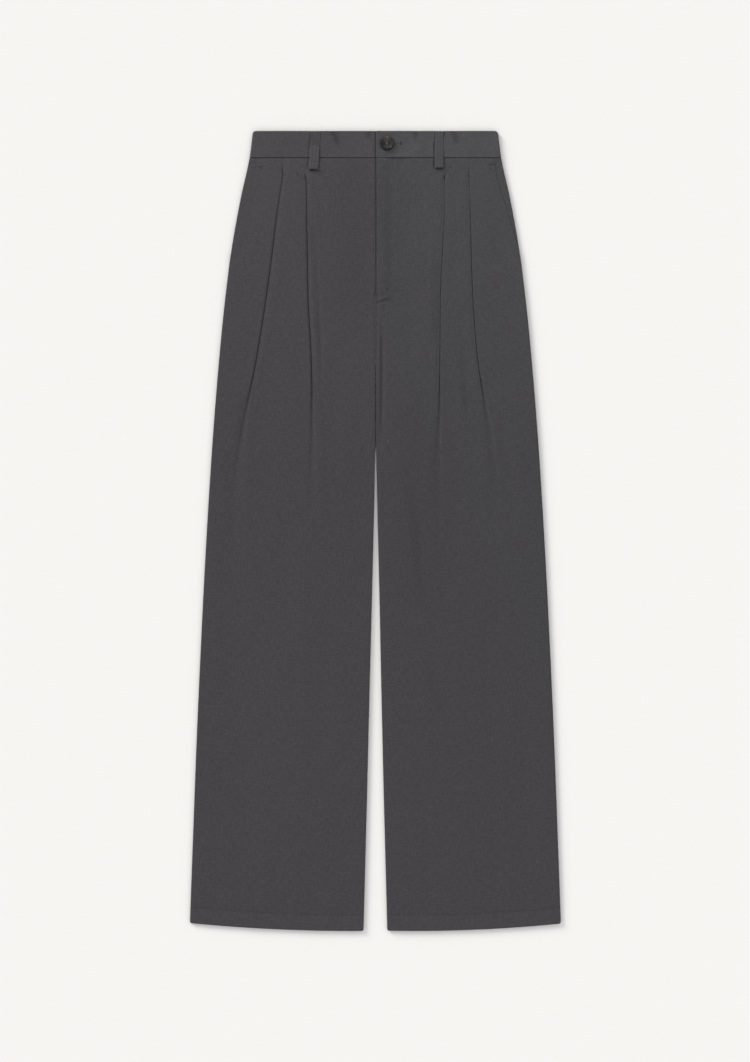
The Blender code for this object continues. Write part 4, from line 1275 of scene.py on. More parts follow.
def make_band_front(leg):
    level = BAND_FRONT_LEVEL
    centre = read(LEG_SPACE, WAIST_TOP, 2)
    section = Section()
    if leg == "left":
        lifted = level + BAND_LEFT_LIFT
        section.add(centre + SEAM_GAP / 2, lifted)
        section.add(UNDERLAP + centre + BAND_CLEAR, lifted, steps=16)
        section.add(section.u[-1] + BAND_EASE, level, steps=7)
    else:
        section.add(-UNDERLAP - centre, level - BAND_UNDERLAP_SINK)
        section.add(-centre, level - BAND_UNDERLAP_SINK, steps=14)
        section.add(BAND_GROOVE - centre, level + BAND_LIP, steps=4)
        section.add(BAND_GROOVE + BAND_EASE, level, steps=7)
    section.add(LOOP_SPAN[0], level, steps=44)
    section.add(LOOP_SPAN[1], level, steps=44)
    end_level = band_meeting + SEAM_GAP / 2
    section.end_with(curl(band_side(BAND_HEIGHTS), -1, level, end_level, 1.0, BAND_CLOTH), steps=64)
    u, z, rows = section.grid(BAND_HEIGHTS)
    x = SIGN[leg] * u
    relief = crease_relief(x, rows, BAND_CREASES) + ripple(x, rows, *BAND_RIPPLE[leg])
    held = sides_held(u, z) * ease((rows - WAIST_SEAM) / BAND_CREASE_EASE)
    z = z + relief * held - loop_bed(leg, x, rows)
    half = band_thickness(rows)
    # Painted shade on the band, at its wrinkles and beside the loops, and painted light where a
    # mark is below zero.
    painted_shade = crease_relief(x, rows, PAINTED_SHADE_MARKS["band"]) / MM
    piece = make_wall("waistband_cloth_front_" + leg, SIGN[leg], u, z, rows, half, half,
                      twill_across, painted_shade)
    return piece, flat_cut(u, z, BAND_HEIGHTS)


def make_band_back():
    end_level = band_meeting - SEAM_GAP / 2
    edge = curl(band_side(BAND_HEIGHTS), -1, BAND_BACK_LEVEL, end_level, 1.0, BAND_CLOTH)
    section = Section([(-u, z) for u, z in edge])
    section.end_with(edge, steps=110)
    u, z, rows = section.grid(BAND_HEIGHTS)
    half = band_thickness(rows)
    piece = make_wall("waistband_cloth_back", 1.0, u, z, rows, half, half, twill_across)
    dress(piece, "waistband_back")


# %% [markdown]
# The buttonhole is a keyhole: a round eye under the button's shank and a straight slit towards
# the side.  It is cut right through the left end of the band, as the machine's knife does.

# %% Buttonhole
BUTTON_PLACE = (15.6 * MM, 523.1 * MM)
BUTTONHOLE_LENGTH = 18 * MM
BUTTONHOLE_WIDTH = 0.12 * MM
BUTTONHOLE_EYE = 1.6 * MM
BUTTONHOLE_GAPE = 0.35 * MM  # half width where the slit gapes at its end
GAPE_LENGTH = 2.2 * MM
EYE_STEPS = 16
KNIFE_SPAN = (BAND_FRONT_LEVEL - 2 * MM, BAND_FRONT_LEVEL + 4 * MM)
MERGE_DISTANCE = 0.001 * MM


def keyhole(grown=0.0):
    """Outline of the slit, from the lower side round the eye to the upper side."""
    x, y = BUTTON_PLACE
    half, eye = BUTTONHOLE_WIDTH / 2 + grown, BUTTONHOLE_EYE + grown
    start = math.asin(half / eye)
    turns = np.linspace(start, 2 * math.pi - start, EYE_STEPS + 1)
    end = x + BUTTONHOLE_LENGTH + grown
    gape, start = BUTTONHOLE_GAPE + grown, end - GAPE_LENGTH - grown
    middle = (start + end) / 2
    around = [(x + eye * math.cos(t), y + eye * math.sin(t)) for t in turns]
    return [
        (end, y), (middle, y + gape), (start, y + half), *around,
        (start, y - half), (middle, y - gape),
    ]


# %% Cutting
def closed_piece(name, points, faces):
    """Object of a closed shape, with its doubles merged and its faces turned outwards."""
    mesh = bpy.data.meshes.new(name)
    mesh.from_pydata(points, [], faces)
    shape = bmesh.new()
    shape.from_mesh(mesh)
    bmesh.ops.remove_doubles(shape, verts=shape.verts, dist=MERGE_DISTANCE)
    bmesh.ops.recalc_face_normals(shape, faces=shape.faces)
    shape.to_mesh(mesh)
    shape.free()
    return add_object(name, mesh)


def knife(outline, low, high):
    """Upright block with an outline, to cut with."""
    count = len(outline)
    points = [(x, y, level) for level in (low, high) for x, y in outline]
    faces = [tuple(range(count)), tuple(range(2 * count - 1, count - 1, -1))]
    faces += [(i, i + count, (i + 1) % count + count, (i + 1) % count) for i in range(count)]
    return closed_piece("knife", points, faces)


def plain_mesh(piece):
    """What a piece's modifiers make of it, as a mesh of its own."""
    shape = piece.evaluated_get(bpy.context.evaluated_depsgraph_get())
    return bpy.data.meshes.new_from_object(shape)


def cut_with(piece, tools):
    """Cut some shapes out of a piece, and keep the result as its plain mesh."""
    for tool in tools:
        cutting = piece.modifiers.new("cut", "BOOLEAN")
        cutting.object = tool
        cutting.operation = "DIFFERENCE"
        cutting.solver = "EXACT"
    cut_mesh = plain_mesh(piece)
    piece.modifiers.clear()
    piece.data = cut_mesh
    for tool in tools:
        bpy.data.objects.remove(tool)


band_fronts = {}
for leg in ("right", "left"):
    band_fronts[leg], cut = make_band_front(leg)
    if leg == "left":
        cut_with(band_fronts[leg], [knife(keyhole(), *KNIFE_SPAN)])
    dress(band_fronts[leg], "waistband_front_" + leg)
make_band_back()
print("buttonhole", round(BUTTONHOLE_LENGTH / MM), "mm long")

# %% [markdown]
# ## Belt loops
# A belt loop is a strip folded in three and stitched along both sides, so it is thick and a
# little pillowed.  It is caught in the top of the band and sewn down below the waist seam,
# where its end is folded under.  In between it stands off, to let a belt through.

# %% Sizes of the belt loops
LOOP_CLOTH = 1.2 * MM
LOOP_PAINTED_SHADE = {"right": 0.14, "left": 0.0}    # painted shade on the loop's upper part
LOOP_PAINTED_SHADE_SPAN = (0.56, 0.70)
LOOP_END_FOLD = 0.9 * MM     # added thickness where the end is folded under
LOOP_FOLD_LENGTH = 8 * MM
LOOP_FOLD_EASE = 1.5 * MM
LOOP_COLUMNS = 41
LOOP_PILLOW = 0.22 * MM      # how much the middle of the strip stands above its edges
LOOP_FULLNESS = 0.98         # of the pillow's round section; 1 would end upright
LOOP_STITCH_PLACE = 0.32     # stitch rows, as a share of half the width
LOOP_GROOVE = 0.16 * MM
LOOP_GROOVE_WIDTH = 0.10     # as a share of half the width
LOOP_TOP = WAIST_TOP - 0.5 * MM
BACK_LOOP_CLEAR = 0.17 * MM  # the back loops lie on their stitches
BACK_LOOPS = {"right": -110.0, "centre": 0.0, "left": 110.0}
LOOP_RISE = [
    # share of the height, level of the loop's underside
    (0.00, 5.85 * MM),
    (0.14, 6.20 * MM),
    (0.32, 6.75 * MM),
    (0.48, 6.60 * MM),
    (0.66, 5.75 * MM),
    (1.00, 5.70 * MM),
]


# %% Making the loops
def loop_grid(x_top, x_bottom, width, bottom):
    """Rows up a loop and columns across it: x, y, share across from -1 to 1, share of height."""
    heights = spaced(
        bottom, (bottom + 1 * MM, 0.15 * MM), (LOOP_TOP - 1 * MM, 1 * MM), (LOOP_TOP, 0.15 * MM)
    )
    across = np.sin(np.linspace(-math.pi / 2, math.pi / 2, LOOP_COLUMNS))
    share = (heights - bottom) / (LOOP_TOP - bottom)
    middle = (x_bottom + share * (x_top - x_bottom)) * MM
    x = middle[:, None] + across[None, :] * width / 2
    return x, heights[:, None] + 0 * x, across[None, :] + 0 * x, share[:, None] + 0 * x


def loop_shape(across):
    """Pillow and stitch grooves over a loop's width."""
    grooves = sum(
        np.exp(-(((across - place) / LOOP_GROOVE_WIDTH) ** 2))
        for place in (-LOOP_STITCH_PLACE, LOOP_STITCH_PLACE)
    )
    return LOOP_PILLOW * (np.sqrt(1 - LOOP_FULLNESS * across**2) - 1) - LOOP_GROOVE * grooves


def sew_on_loop(place, x, z, y, above, below, painted_shade=None):
    """Make a loop's wall on the one body, in place of its node."""
    piece = make_wall("belt_loop_cloth_" + place, 1.0, x, z, y, above, below, twill_strip, painted_shade)
    dress(piece, "belt_loop_" + place)
    return piece


def make_front_loop(leg):
    x_top, x_bottom, tilt = FRONT_LOOPS[leg]
    bottom, width = WAIST_SEAM - LOOP_DROP[leg], LOOP_WIDTH[leg]
    x, y, across, share = loop_grid(x_top, x_bottom, width, bottom)
    folded = 1 - ease((y - bottom - LOOP_FOLD_LENGTH) / LOOP_FOLD_EASE)
    half = (LOOP_CLOTH + LOOP_END_FOLD * folded) / 2
    middle = read(LOOP_RISE, share) + half + tilt * MM * across * np.sin(math.pi * share)
    ends = edge_round(y - bottom, half) * edge_round(LOOP_TOP - y, half)
    above = (half + loop_shape(across)) * ends
    # Painted shade on the loop's upper part.
    painted_shade = LOOP_PAINTED_SHADE[leg] * between(share, LOOP_PAINTED_SHADE_SPAN)
    return sew_on_loop("front_" + leg, x, middle, y, above, half * ends,
                       painted_shade)


def make_back_loop(place):
    bottom, width = WAIST_SEAM - LOOP_DROP["back"], LOOP_WIDTH["back"]
    x, y, across, _ = loop_grid(BACK_LOOPS[place], BACK_LOOPS[place], width, bottom)
    half = LOOP_CLOTH / 2
    ends = edge_round(y - bottom, half) * edge_round(LOOP_TOP - y, half)
    below = (half + loop_shape(across)) * ends
    level = half + BACK_LOOP_CLEAR + 0 * x
    return sew_on_loop("back_" + place, x, level, y, half * ends, below)


loops = {"front_" + leg: make_front_loop(leg) for leg in FRONT_LOOPS}
loops.update({"back_" + place: make_back_loop(place) for place in BACK_LOOPS})

# %% [markdown]
# ## Stitches
# A seam is hundreds of equal stitches on a path, so Geometry Nodes lay them.  The tree turns
# a line into a curve, puts points on it at the stitch's pitch, and sets a small bead of thread
# on each, turned along the seam.  The same tree makes a bartack: short pitch, beads turned
# across.  Copying beads in a loop would do too, but the tree's named inputs say what a
# machinist sets: pitch, length and thread.

# %% Thread
THREAD_TONE = (0.034, 0.032, 0.036)
# Bartack thread for the loops and the buttonhole: near black, also as painted shadow under the
# loops' ends and at the buttonhole's end.
BLACK_SHADE_TONE = (0.009, 0.009, 0.010)
STITCH_SEED = 5
BEAD_SEGMENTS = 6
BEAD_RINGS = 5
BEAD_FACES = BEAD_SEGMENTS * BEAD_RINGS
FIBRE_SIZE = 0.9 * MM        # of the thread's unevenness in tone
FIBRE_RAMP = (0.25, 0.75, 0.72, 1.28)    # noise from, to; tone from, to
TWIST_PITCH = 0.22 * MM
TWIST_DEPTH = 0.05 * MM


def make_thread(name, tone, roughness):
    """Twisted sewing thread with a soft gloss."""
    material, tree = plain_material(
        name, Roughness=roughness, Specular_IOR_Level=0.25, Sheen_Weight=0.08,
    )
    place = object_place(tree)
    dye = shaded(tree, paint(tone), ramped(tree, clouds(tree, place, FIBRE_SIZE), *FIBRE_RAMP))
    twist = stripes(tree, place, TWIST_PITCH, distortion=0.4, direction="DIAGONAL")
    finish_surface(tree, dye, twist, strength=0.5, depth=TWIST_DEPTH)
    return material


# %% Stitch tree
def new_tree(name, labels):
    """Empty geometry tree with a line coming in, named sizes, and a result going out."""
    tree = bpy.data.node_groups.new(name, "GeometryNodeTree")
    tree.interface.new_socket("Line", in_out="INPUT", socket_type="NodeSocketGeometry")
    for label in labels:
        tree.interface.new_socket(label, in_out="INPUT", socket_type="NodeSocketFloat")
    tree.interface.new_socket("Result", in_out="OUTPUT", socket_type="NodeSocketGeometry")
    given = add_node(tree, "NodeGroupInput").outputs
    curve = add_node(tree, "GeometryNodeMeshToCurve", {"Mesh": given["Line"]})
    return tree, given, curve


def close_tree(tree, shape, material):
    """End a tree: real geometry, smooth, in its material."""
    shape = add_node(tree, "GeometryNodeRealizeInstances", {"Geometry": shape})
    shape = add_node(tree, "GeometryNodeSetShadeSmooth", {"Geometry": shape})
    shape = add_node(tree, "GeometryNodeSetMaterial", {
        "Geometry": shape, "Material": material,
    })
    add_node(tree, "NodeGroupOutput", {"Result": shape})
    return tree


def make_stitch_tree(name, material):
    tree, given, curve = new_tree(
        name, ("Pitch", "Length", "Width", "Height", "Turn", "Unevenness")
    )
    even = add_node(tree, "GeometryNodeResampleCurve", {
        "Curve": curve, "Length": given["Pitch"],
    }, mode="LENGTH")
    spots = add_node(tree, "GeometryNodeCurveToPoints", {"Curve": even}, mode="EVALUATED")
    along = add_node(tree, "FunctionNodeAlignRotationToVector", {
        "Vector": spots.outputs["Tangent"],
    }, axis="X", pivot_axis="Z")
    spread = add_node(tree, "FunctionNodeRandomValue", {
        "Min": -1.0, "Max": 1.0, "Seed": STITCH_SEED,
    }, data_type="FLOAT")
    turn = add_node(tree, "ShaderNodeMath", {
        0: socket_of(spread.outputs, "Value"), 1: given["Unevenness"], 2: given["Turn"],
    }, operation="MULTIPLY_ADD")
    turn = add_node(tree, "ShaderNodeCombineXYZ", {"Z": turn})
    turn = add_node(tree, "FunctionNodeEulerToRotation", {"Euler": turn})
    along = add_node(tree, "FunctionNodeRotateRotation", {
        "Rotation": along, "Rotate By": turn,
    }, rotation_space="LOCAL")
    bead = add_node(tree, "GeometryNodeMeshUVSphere", {
        "Segments": BEAD_SEGMENTS, "Rings": BEAD_RINGS, "Radius": 0.5,
    })
    size = add_node(tree, "ShaderNodeCombineXYZ", {
        "X": given["Length"], "Y": given["Width"], "Z": given["Height"],
    })
    laid = add_node(tree, "GeometryNodeInstanceOnPoints", {
        "Points": spots.outputs["Points"], "Instance": bead.outputs["Mesh"],
        "Rotation": along, "Scale": size,
    })
    return close_tree(tree, laid, material)


# %% Rows of stitches
def run_tree(name, tree, lines, sizes):
    """Give lines of points to a tree, and keep its result as a plain mesh."""
    points, edges = [], []
    for line in lines:
        edges += [(len(points) + i, len(points) + i + 1) for i in range(len(line) - 1)]
        points += [tuple(p) for p in line]
    guide_mesh = bpy.data.meshes.new("guide")
    guide_mesh.from_pydata(points, edges, [])
    guide = add_object("guide", guide_mesh)
    modifier = guide.modifiers.new("tree", "NODES")
    modifier.node_group = tree
    for socket in tree.interface.items_tree:
        if socket.in_out == "INPUT" and socket.name in sizes:
            modifier[socket.identifier] = float(sizes[socket.name])
    mesh = plain_mesh(guide)
    bpy.data.objects.remove(guide)
    mesh.name = name
    return add_object(name, mesh)


def stitch_sizes(pitch, length, width, height, turn=0, unevenness=0):
    """What a machinist sets: sizes in millimetres, and turns in degrees."""
    return {
        "Pitch": pitch * MM, "Length": length * MM, "Width": width * MM, "Height": height * MM,
        "Turn": math.radians(turn), "Unevenness": math.radians(unevenness),
    }


thread = make_thread("charcoal_thread", THREAD_TONE, 0.6)
black_shade_thread = make_thread("black_shade_thread", BLACK_SHADE_TONE, 0.7)
stitches = make_stitch_tree("row_of_stitches", thread)
black_shade_stitches = make_stitch_tree("row_of_black_stitches", black_shade_thread)
SEAM_STITCH = stitch_sizes(3.0, 2.5, 0.42, 0.36, unevenness=3)
LOOP_STITCH = stitch_sizes(2.4, 2.0, 0.42, 0.36, unevenness=3)
BARTACK = stitch_sizes(0.36, 2.0, 0.34, 0.40, turn=84, unevenness=8)
LOOP_TACK = stitch_sizes(0.36, 2.7, 0.34, 0.55, turn=84, unevenness=8)
print("stitches per ten centimetres:", round(100 * MM / SEAM_STITCH["Pitch"]))

# %% [markdown]
# ## Where the stitches lie
# A seam's line is drawn flat, in millimetres, and then dropped onto the cloth with rays, from
# above for the fronts and from below for the backs.  So the thread follows every crease.

# %% Dropping a line onto the cloth
LINE_STEP = 1.2 * MM
THREAD_SINK = 0.04 * MM      # how deep the thread's middle sits in the cloth
RAY_START = 0.1              # metres from the floor's level, well clear of the cloth


def surface_of(*pieces):
    """Search trees of some pieces' faces."""
    return [
        BVHTree.FromPolygons([v.co for v in p.data.vertices], [f.vertices for f in p.data.polygons])
        for p in pieces
    ]


def dropped(line, surfaces, from_above=True):
    """A flat line of (x, y) in metres, laid on the outermost of the surfaces."""
    way = -1.0 if from_above else 1.0
    line = np.array(line, float)
    found = []
    for start, end in zip(line, line[1:]):
        count = max(int(np.hypot(*(end - start)) / LINE_STEP), 1)
        found += [start + (end - start) * i / count for i in range(count)]
    found.append(line[-1])
    points = []
    for x, y in found:
        start = Vector((x, y, -way * RAY_START))
        hits = [surface.ray_cast(start, Vector((0, 0, way)))[0] for surface in surfaces]
        levels = [hit.z for hit in hits if hit is not None]
        if levels:
            level = max(levels) if from_above else min(levels)
            points.append((x, y, level + way * THREAD_SINK))
    return points


def sew(name, lines, surfaces, sizes, from_above=True, tree=stitches):
    """One piece of stitching along several lines."""
    laid = [dropped(line, surfaces, from_above) for line in lines]
    piece = run_tree(name, tree, [line for line in laid if len(line) > 1], sizes)
    dress(piece, None)
    print(name, len(piece.data.polygons) // BEAD_FACES, "stitches")


# %% Seams and bartacks
FLY_STITCH = 31 * MM         # distance of the J-shaped seam from the centre
FLY_STITCH_FOOT = 2 * MM     # the same at its lower end
FLY_STITCH_TOP = WAIST_SEAM - 1.5 * MM
FLY_CURVE = 26 * MM          # height of its curved end
FLY_CURVE_END = FLY_END - 5 * MM
FLY_CURVE_POINTS = 15
HEM_STITCH_INSET = 6 * MM    # the hem's rows start this far from the leg's edges
HEM_STITCH_POINTS = 40
POCKET_STITCH = 7 * MM       # from the pocket's edge
POCKET_STITCH_END = 8 * MM   # above the pocket's lower end
POCKET_STITCH_TOP = WAIST_SEAM - 2 * MM
POCKET_STITCH_POINTS = 24

fly_line = [(FLY_STITCH, FLY_STITCH_TOP)] + [
    (FLY_STITCH_FOOT + (FLY_STITCH - FLY_STITCH_FOOT) * math.cos(t),
     FLY_CURVE_END + FLY_CURVE * (1 - math.sin(t)))
    for t in np.linspace(0, math.pi / 2, FLY_CURVE_POINTS)
]


def hem_line(leg):
    inner = float(inner_edge(leg, HEM_STITCH)) + HEM_STITCH_INSET
    outer = float(side_edge(HEM_STITCH)) - HEM_STITCH_INSET
    return [
        (SIGN[leg] * u, float(hem_curve(leg, HEM_STITCH, u)))
        for u in np.linspace(inner, outer, HEM_STITCH_POINTS)
    ]


def pocket_line(leg):
    low = POCKET_END + POCKET_STITCH_END
    heights = np.linspace(low, POCKET_STITCH_TOP, POCKET_STITCH_POINTS)
    edge = read(SIDE, heights) - read(POCKET_SET_BACK, heights) - POCKET_STITCH
    return [(SIGN[leg] * u, y) for u, y in zip(edge, heights)]


def sew_tacks(name, lines):
    """Bartacks on the fronts, their lines of (x, y) in millimetres."""
    in_metres = [[(x * MM, y * MM) for x, y in line] for line in lines]
    sew(name, in_metres, front_surface, BARTACK)


front_surface = surface_of(*fronts.values())
back_surface = surface_of(*backs.values())
hems, pockets = [hem_line(leg) for leg in SIGN], [pocket_line(leg) for leg in SIGN]
sew("stitching_fly", [fly_line], front_surface, SEAM_STITCH)
sew_tacks("bartack_fly", [[(1.5, 308.8), (11.6, 310.8), (17.4, 313.4)]])
sew("stitching_hem_fronts", hems, front_surface, SEAM_STITCH)
sew("stitching_hem_backs", hems, back_surface, SEAM_STITCH, from_above=False)
sew("stitching_pockets", pockets, front_surface, SEAM_STITCH)

sew_tacks("bartacks_pockets", [[(-163, 493.5), (-153, 490.5)], [(152.5, 495.5), (160.8, 494)]])
sew_tacks("bartacks_pleats", [[(-94.6, 478), (-94.4, 474)], [(92.7, 478.5), (92.4, 475)]])

# %% Belt loops' stitches
LOOP_STITCH_FOOT = 2.5 * MM  # the rows start this far up from a loop's end
LOOP_STITCH_TOP = LOOP_TOP - 1 * MM
TACK_INSET = 0.9 * MM
TACK_FOOT = {"front": 0.6 * MM, "back": 1.6 * MM}    # bartacks, up from a loop's end


def loop_seams(side, loop_sizes):
    """Stitch rows and bartacks of some loops, each given by its size's name and its x's."""
    rows, tacks = [], []
    for size, x_top, x_bottom in loop_sizes:
        bottom, half = WAIST_SEAM - LOOP_DROP[size], LOOP_WIDTH[size] / 2
        for reach in (-LOOP_STITCH_PLACE * half, LOOP_STITCH_PLACE * half):
            foot = (x_bottom * MM + reach, bottom + LOOP_STITCH_FOOT)
            rows.append([foot, (x_top * MM + reach, LOOP_STITCH_TOP)])
        reach, y = half - TACK_INSET, bottom + TACK_FOOT[side]
        tacks.append([(x_bottom * MM - reach, y), (x_bottom * MM + reach, y)])
    return rows, tacks, surface_of(*(loop for name, loop in loops.items() if side in name))


rows, tacks, surface = loop_seams("front", [(leg, *x[:2]) for leg, x in FRONT_LOOPS.items()])
sew("stitching_loops_front", rows, surface, LOOP_STITCH)
sew("bartacks_loops_front", tacks, surface, LOOP_TACK, tree=black_shade_stitches)
rows, tacks, surface = loop_seams("back", [("back", x, x) for x in BACK_LOOPS.values()])
sew("stitching_loops_back", rows, surface, LOOP_STITCH, from_above=False)
sew("bartacks_loops_back", tacks, surface, BARTACK, from_above=False)

# %% [markdown]
# The buttonhole's edge is whipped with a dense thread, so that the cut yarns can't fray.

# %% Buttonhole edge
PURL_TONE = (0.062, 0.058, 0.063)
PURL = stitch_sizes(0.36, 1.7, 0.34, 0.42, turn=90, unevenness=6)
PURL_OFFSET = 0.55 * MM      # from the cut edge to the middle of the thread
BAR_OFFSET = 0.9 * MM        # of the bar, beyond the slit's end
BAR_REACH = 2.0 * MM
purl_line = keyhole(PURL_OFFSET)
purl = make_stitch_tree("whipped_edge", make_thread("buttonhole_thread", PURL_TONE, 0.6))
band_surface = surface_of(band_fronts["left"])
sew("buttonhole_edge", [purl_line + purl_line[:1]], band_surface, PURL, tree=purl)
bar_x, bar_y = BUTTON_PLACE[0] + BUTTONHOLE_LENGTH + BAR_OFFSET, BUTTON_PLACE[1]
bar_line = [(bar_x, bar_y - BAR_REACH), (bar_x, bar_y + BAR_REACH)]
sew("bartack_buttonhole", [bar_line], band_surface, LOOP_TACK, tree=black_shade_stitches)

# %% [markdown]
# ## Zip
# Under the fly lies a closed zip.  Its tape is a narrow woven strip, and its teeth are one
# wound coil, a short bar for each turn.  The bars come from the stitch tree, turned across.

# %% Zip
ZIP_SPAN = (-10 * MM, 16 * MM)
ZIP_BOTTOM = FLY_END + 10 * MM
ZIP_TOP = WAIST_SEAM - 3 * MM
TAPE_CLOTH = 0.5 * MM
ZIP_BELOW = 1.42 * MM        # from the middle of the cloth to the middle of the tape
COIL = stitch_sizes(1.3, 4.6, 0.95, 0.85, turn=90)
COIL_INSET = 2 * MM          # the coil ends this far inside the tape's ends
COIL_POINTS = 40
COIL_RISE = 0.55 * MM        # from the tape's middle to the coil's
TAPE_TONE = (0.020, 0.020, 0.022)
TAPE_WEAVE = 0.6 * MM
TAPE_WEAVE_DEPTH = 0.08 * MM


def zip_level(y):
    """Middle of the tape, under the right front."""
    return read(FRONT_LEVEL, y) - FLY_RIGHT_SINK - ZIP_BELOW


def make_zip_tape(material):
    heights = spaced(ZIP_BOTTOM, (ZIP_TOP, 4 * MM))
    section = Section([(ZIP_SPAN[0], zip_level(heights))])
    section.add(ZIP_SPAN[1], zip_level(heights), steps=20)
    u, z, rows = section.grid(heights)
    half = TAPE_CLOTH / 2 + 0 * u
    piece = make_wall("fly_zip_tape", 1.0, u, z, rows, half, half, material)
    return piece, flat_cut(u, z, heights)


tape, tape_tree = plain_material("zip_tape", Roughness=0.75, Specular_IOR_Level=0.2)
weave = add_node(tape_tree, "ShaderNodeTexChecker", {
    "Vector": add_node(tape_tree, "ShaderNodeUVMap", uv_map="cloth"), "Scale": 1 / TAPE_WEAVE,
    "Color1": paint(TAPE_TONE, lighter=1.25), "Color2": paint(TAPE_TONE, lighter=0.8),
})
finish_surface(tape_tree, weave, weave.outputs["Fac"], strength=0.5, depth=TAPE_WEAVE_DEPTH)
coil_tree = make_stitch_tree("row_of_zip_teeth", make_thread("zip_coil", TAPE_TONE, 0.4))

zip_tape, zip_cut = make_zip_tape(tape)
coil_middle = sum(ZIP_SPAN) / 2
coil_heights = np.linspace(ZIP_BOTTOM + COIL_INSET, ZIP_TOP - COIL_INSET, COIL_POINTS)
coil_line = [(coil_middle, y, zip_level(y) + COIL_RISE) for y in coil_heights]
zip_coil = run_tree("fly_zip_coil", coil_tree, [coil_line], COIL)
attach(zip_tape, "root")
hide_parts("fly_zip")
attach(zip_coil, "root")
print("zip teeth:", len(zip_coil.data.polygons) // BEAD_FACES)

# %% [markdown]
# ## Button
# The button is turned from dark horn-like plastic: a round rim, a shallow dish and four holes.
# A turned shape is a profile spun about its axis, so that is how it is made.  The holes are
# cut with flared pins, because drilled edges are polished round.  Bundles of thread cross the
# dish between the holes and go down through them.

# %% Button material
HORN_DARK = (0.0180, 0.0165, 0.0170)
HORN_LIGHT = (0.030, 0.026, 0.019)
BUTTON_LIGHT_AND_SHADE_CLOUDS = [
    # centre, radius and tone of each cloud: painted reflection and highlight on the upper rim,
    # painted shade on the right side, an olive patch lower down, painted shadow under the lower rim
    ((14.8 * MM, 530.2 * MM, 9.6 * MM), 7.0 * MM, (0.050, 0.043, 0.039)),
    ((16.6 * MM, 531.0 * MM, 9.6 * MM), 2.8 * MM, (0.088, 0.077, 0.070)),
    ((24.6 * MM, 525.0 * MM, 9.6 * MM), 7.0 * MM, (0.031, 0.029, 0.032)),
    ((16.4 * MM, 518.8 * MM, 9.6 * MM), 5.4 * MM, (0.038, 0.040, 0.030)),
    ((13.2 * MM, 514.4 * MM, 8.6 * MM), 3.4 * MM, (0.003, 0.003, 0.003)),
    ((18.6 * MM, 514.6 * MM, 8.6 * MM), 3.8 * MM, (0.003, 0.003, 0.003)),
]
GRAIN_SCALE = (90, 260, 120)         # patches per metre along x, y and z
GRAIN_TURN = math.radians(20)
GRAIN_RAMP = (0.42, 0.72)    # noise values of pure dark and pure light horn
CLOUD_EDGE = 0.6             # a cloud has its full tone once this share of its radius is left
SCRATCH_SIZE = 1 / 1400      # metres
SCRATCH_DEPTH = 0.04 * MM


def make_horn(name):
    """Dark horn: drawn-out grain and fine scratches, with a few clouds of painted light and shade
    over it.
    """
    material, tree = plain_material(name, Roughness=0.38, Specular_IOR_Level=0.12)
    place = object_place(tree)
    drawn = mapped(tree, place, Scale=GRAIN_SCALE, Rotation=(0, 0, GRAIN_TURN))
    grain = clouds(tree, drawn, size=1.0, detail=4.0, distortion=1.2)
    colour = mixed(tree, ramped(tree, grain, *GRAIN_RAMP), paint(HORN_DARK), paint(HORN_LIGHT))
    # Clouds of painted light and shade over the horn: painted reflection and highlight at the top,
    # painted shade and shadow at the side and below.
    for centre, radius, tone in BUTTON_LIGHT_AND_SHADE_CLOUDS:
        moved = mapped(
            tree, place, Location=tuple(-c / radius for c in centre), Scale=(1 / radius,) * 3,
        )
        cloud = add_node(tree, "ShaderNodeTexGradient", {"Vector": moved},
                         gradient_type="SPHERICAL").outputs["Fac"]
        colour = mixed(tree, ramped(tree, cloud, 0.0, CLOUD_EDGE), colour, paint(tone))
    scratches = clouds(tree, place, SCRATCH_SIZE)
    finish_surface(tree, colour, scratches, strength=0.15, depth=SCRATCH_DEPTH)
    return material


horn = make_horn("dark_horn")

# %% Sizes of the button
BUTTON_RADIUS = 9.6 * MM
BUTTON_HOLE_RADIUS = 0.9 * MM
BUTTON_HOLE_RING = 2.3 * MM
HOLE_TURNS = np.radians([45, 135, 225, 315])
BUTTON_SIDES = 96
BUTTON_RINGS = 57
HOLE_SIDES = 24
BUTTON_SEAT = 0.8 * MM       # from the middle of the band's left end up to its face
BUTTON_BASE = BAND_FRONT_LEVEL + BAND_LEFT_LIFT + BUTTON_SEAT + SEAM_GAP
BUTTON_PROFILE = [
    # share of the radius, height
    (0.00, 0.05 * MM),
    (0.35, 0.03 * MM),
    (0.66, 0.00 * MM),
    (0.86, 0.15 * MM),
    (0.97, 0.60 * MM),
    (1.00, 1.30 * MM),
    (0.98, 2.15 * MM),
    (0.93, 2.88 * MM),
    (0.86, 3.10 * MM),
    (0.79, 2.98 * MM),
    (0.72, 2.58 * MM),
    (0.66, 2.25 * MM),
    (0.58, 2.12 * MM),
    (0.30, 2.06 * MM),
    (0.00, 2.04 * MM),
]
PIN_PROFILE = [
    # share of a hole's radius, height
    (0.00, -1.2 * MM),
    (1.90, -1.2 * MM),
    (1.35, 0.0 * MM),
    (1.00, 0.35 * MM),
    (1.00, 1.75 * MM),
    (1.35, 2.12 * MM),
    (2.00, 3.0 * MM),
    (0.00, 3.0 * MM),
]
SHARP_EDGE = math.radians(35)


# %% Turning and drilling
def around_button(radius, turn):
    """Place at a radius round the button's middle."""
    return BUTTON_PLACE[0] + radius * math.cos(turn), BUTTON_PLACE[1] + radius * math.sin(turn)


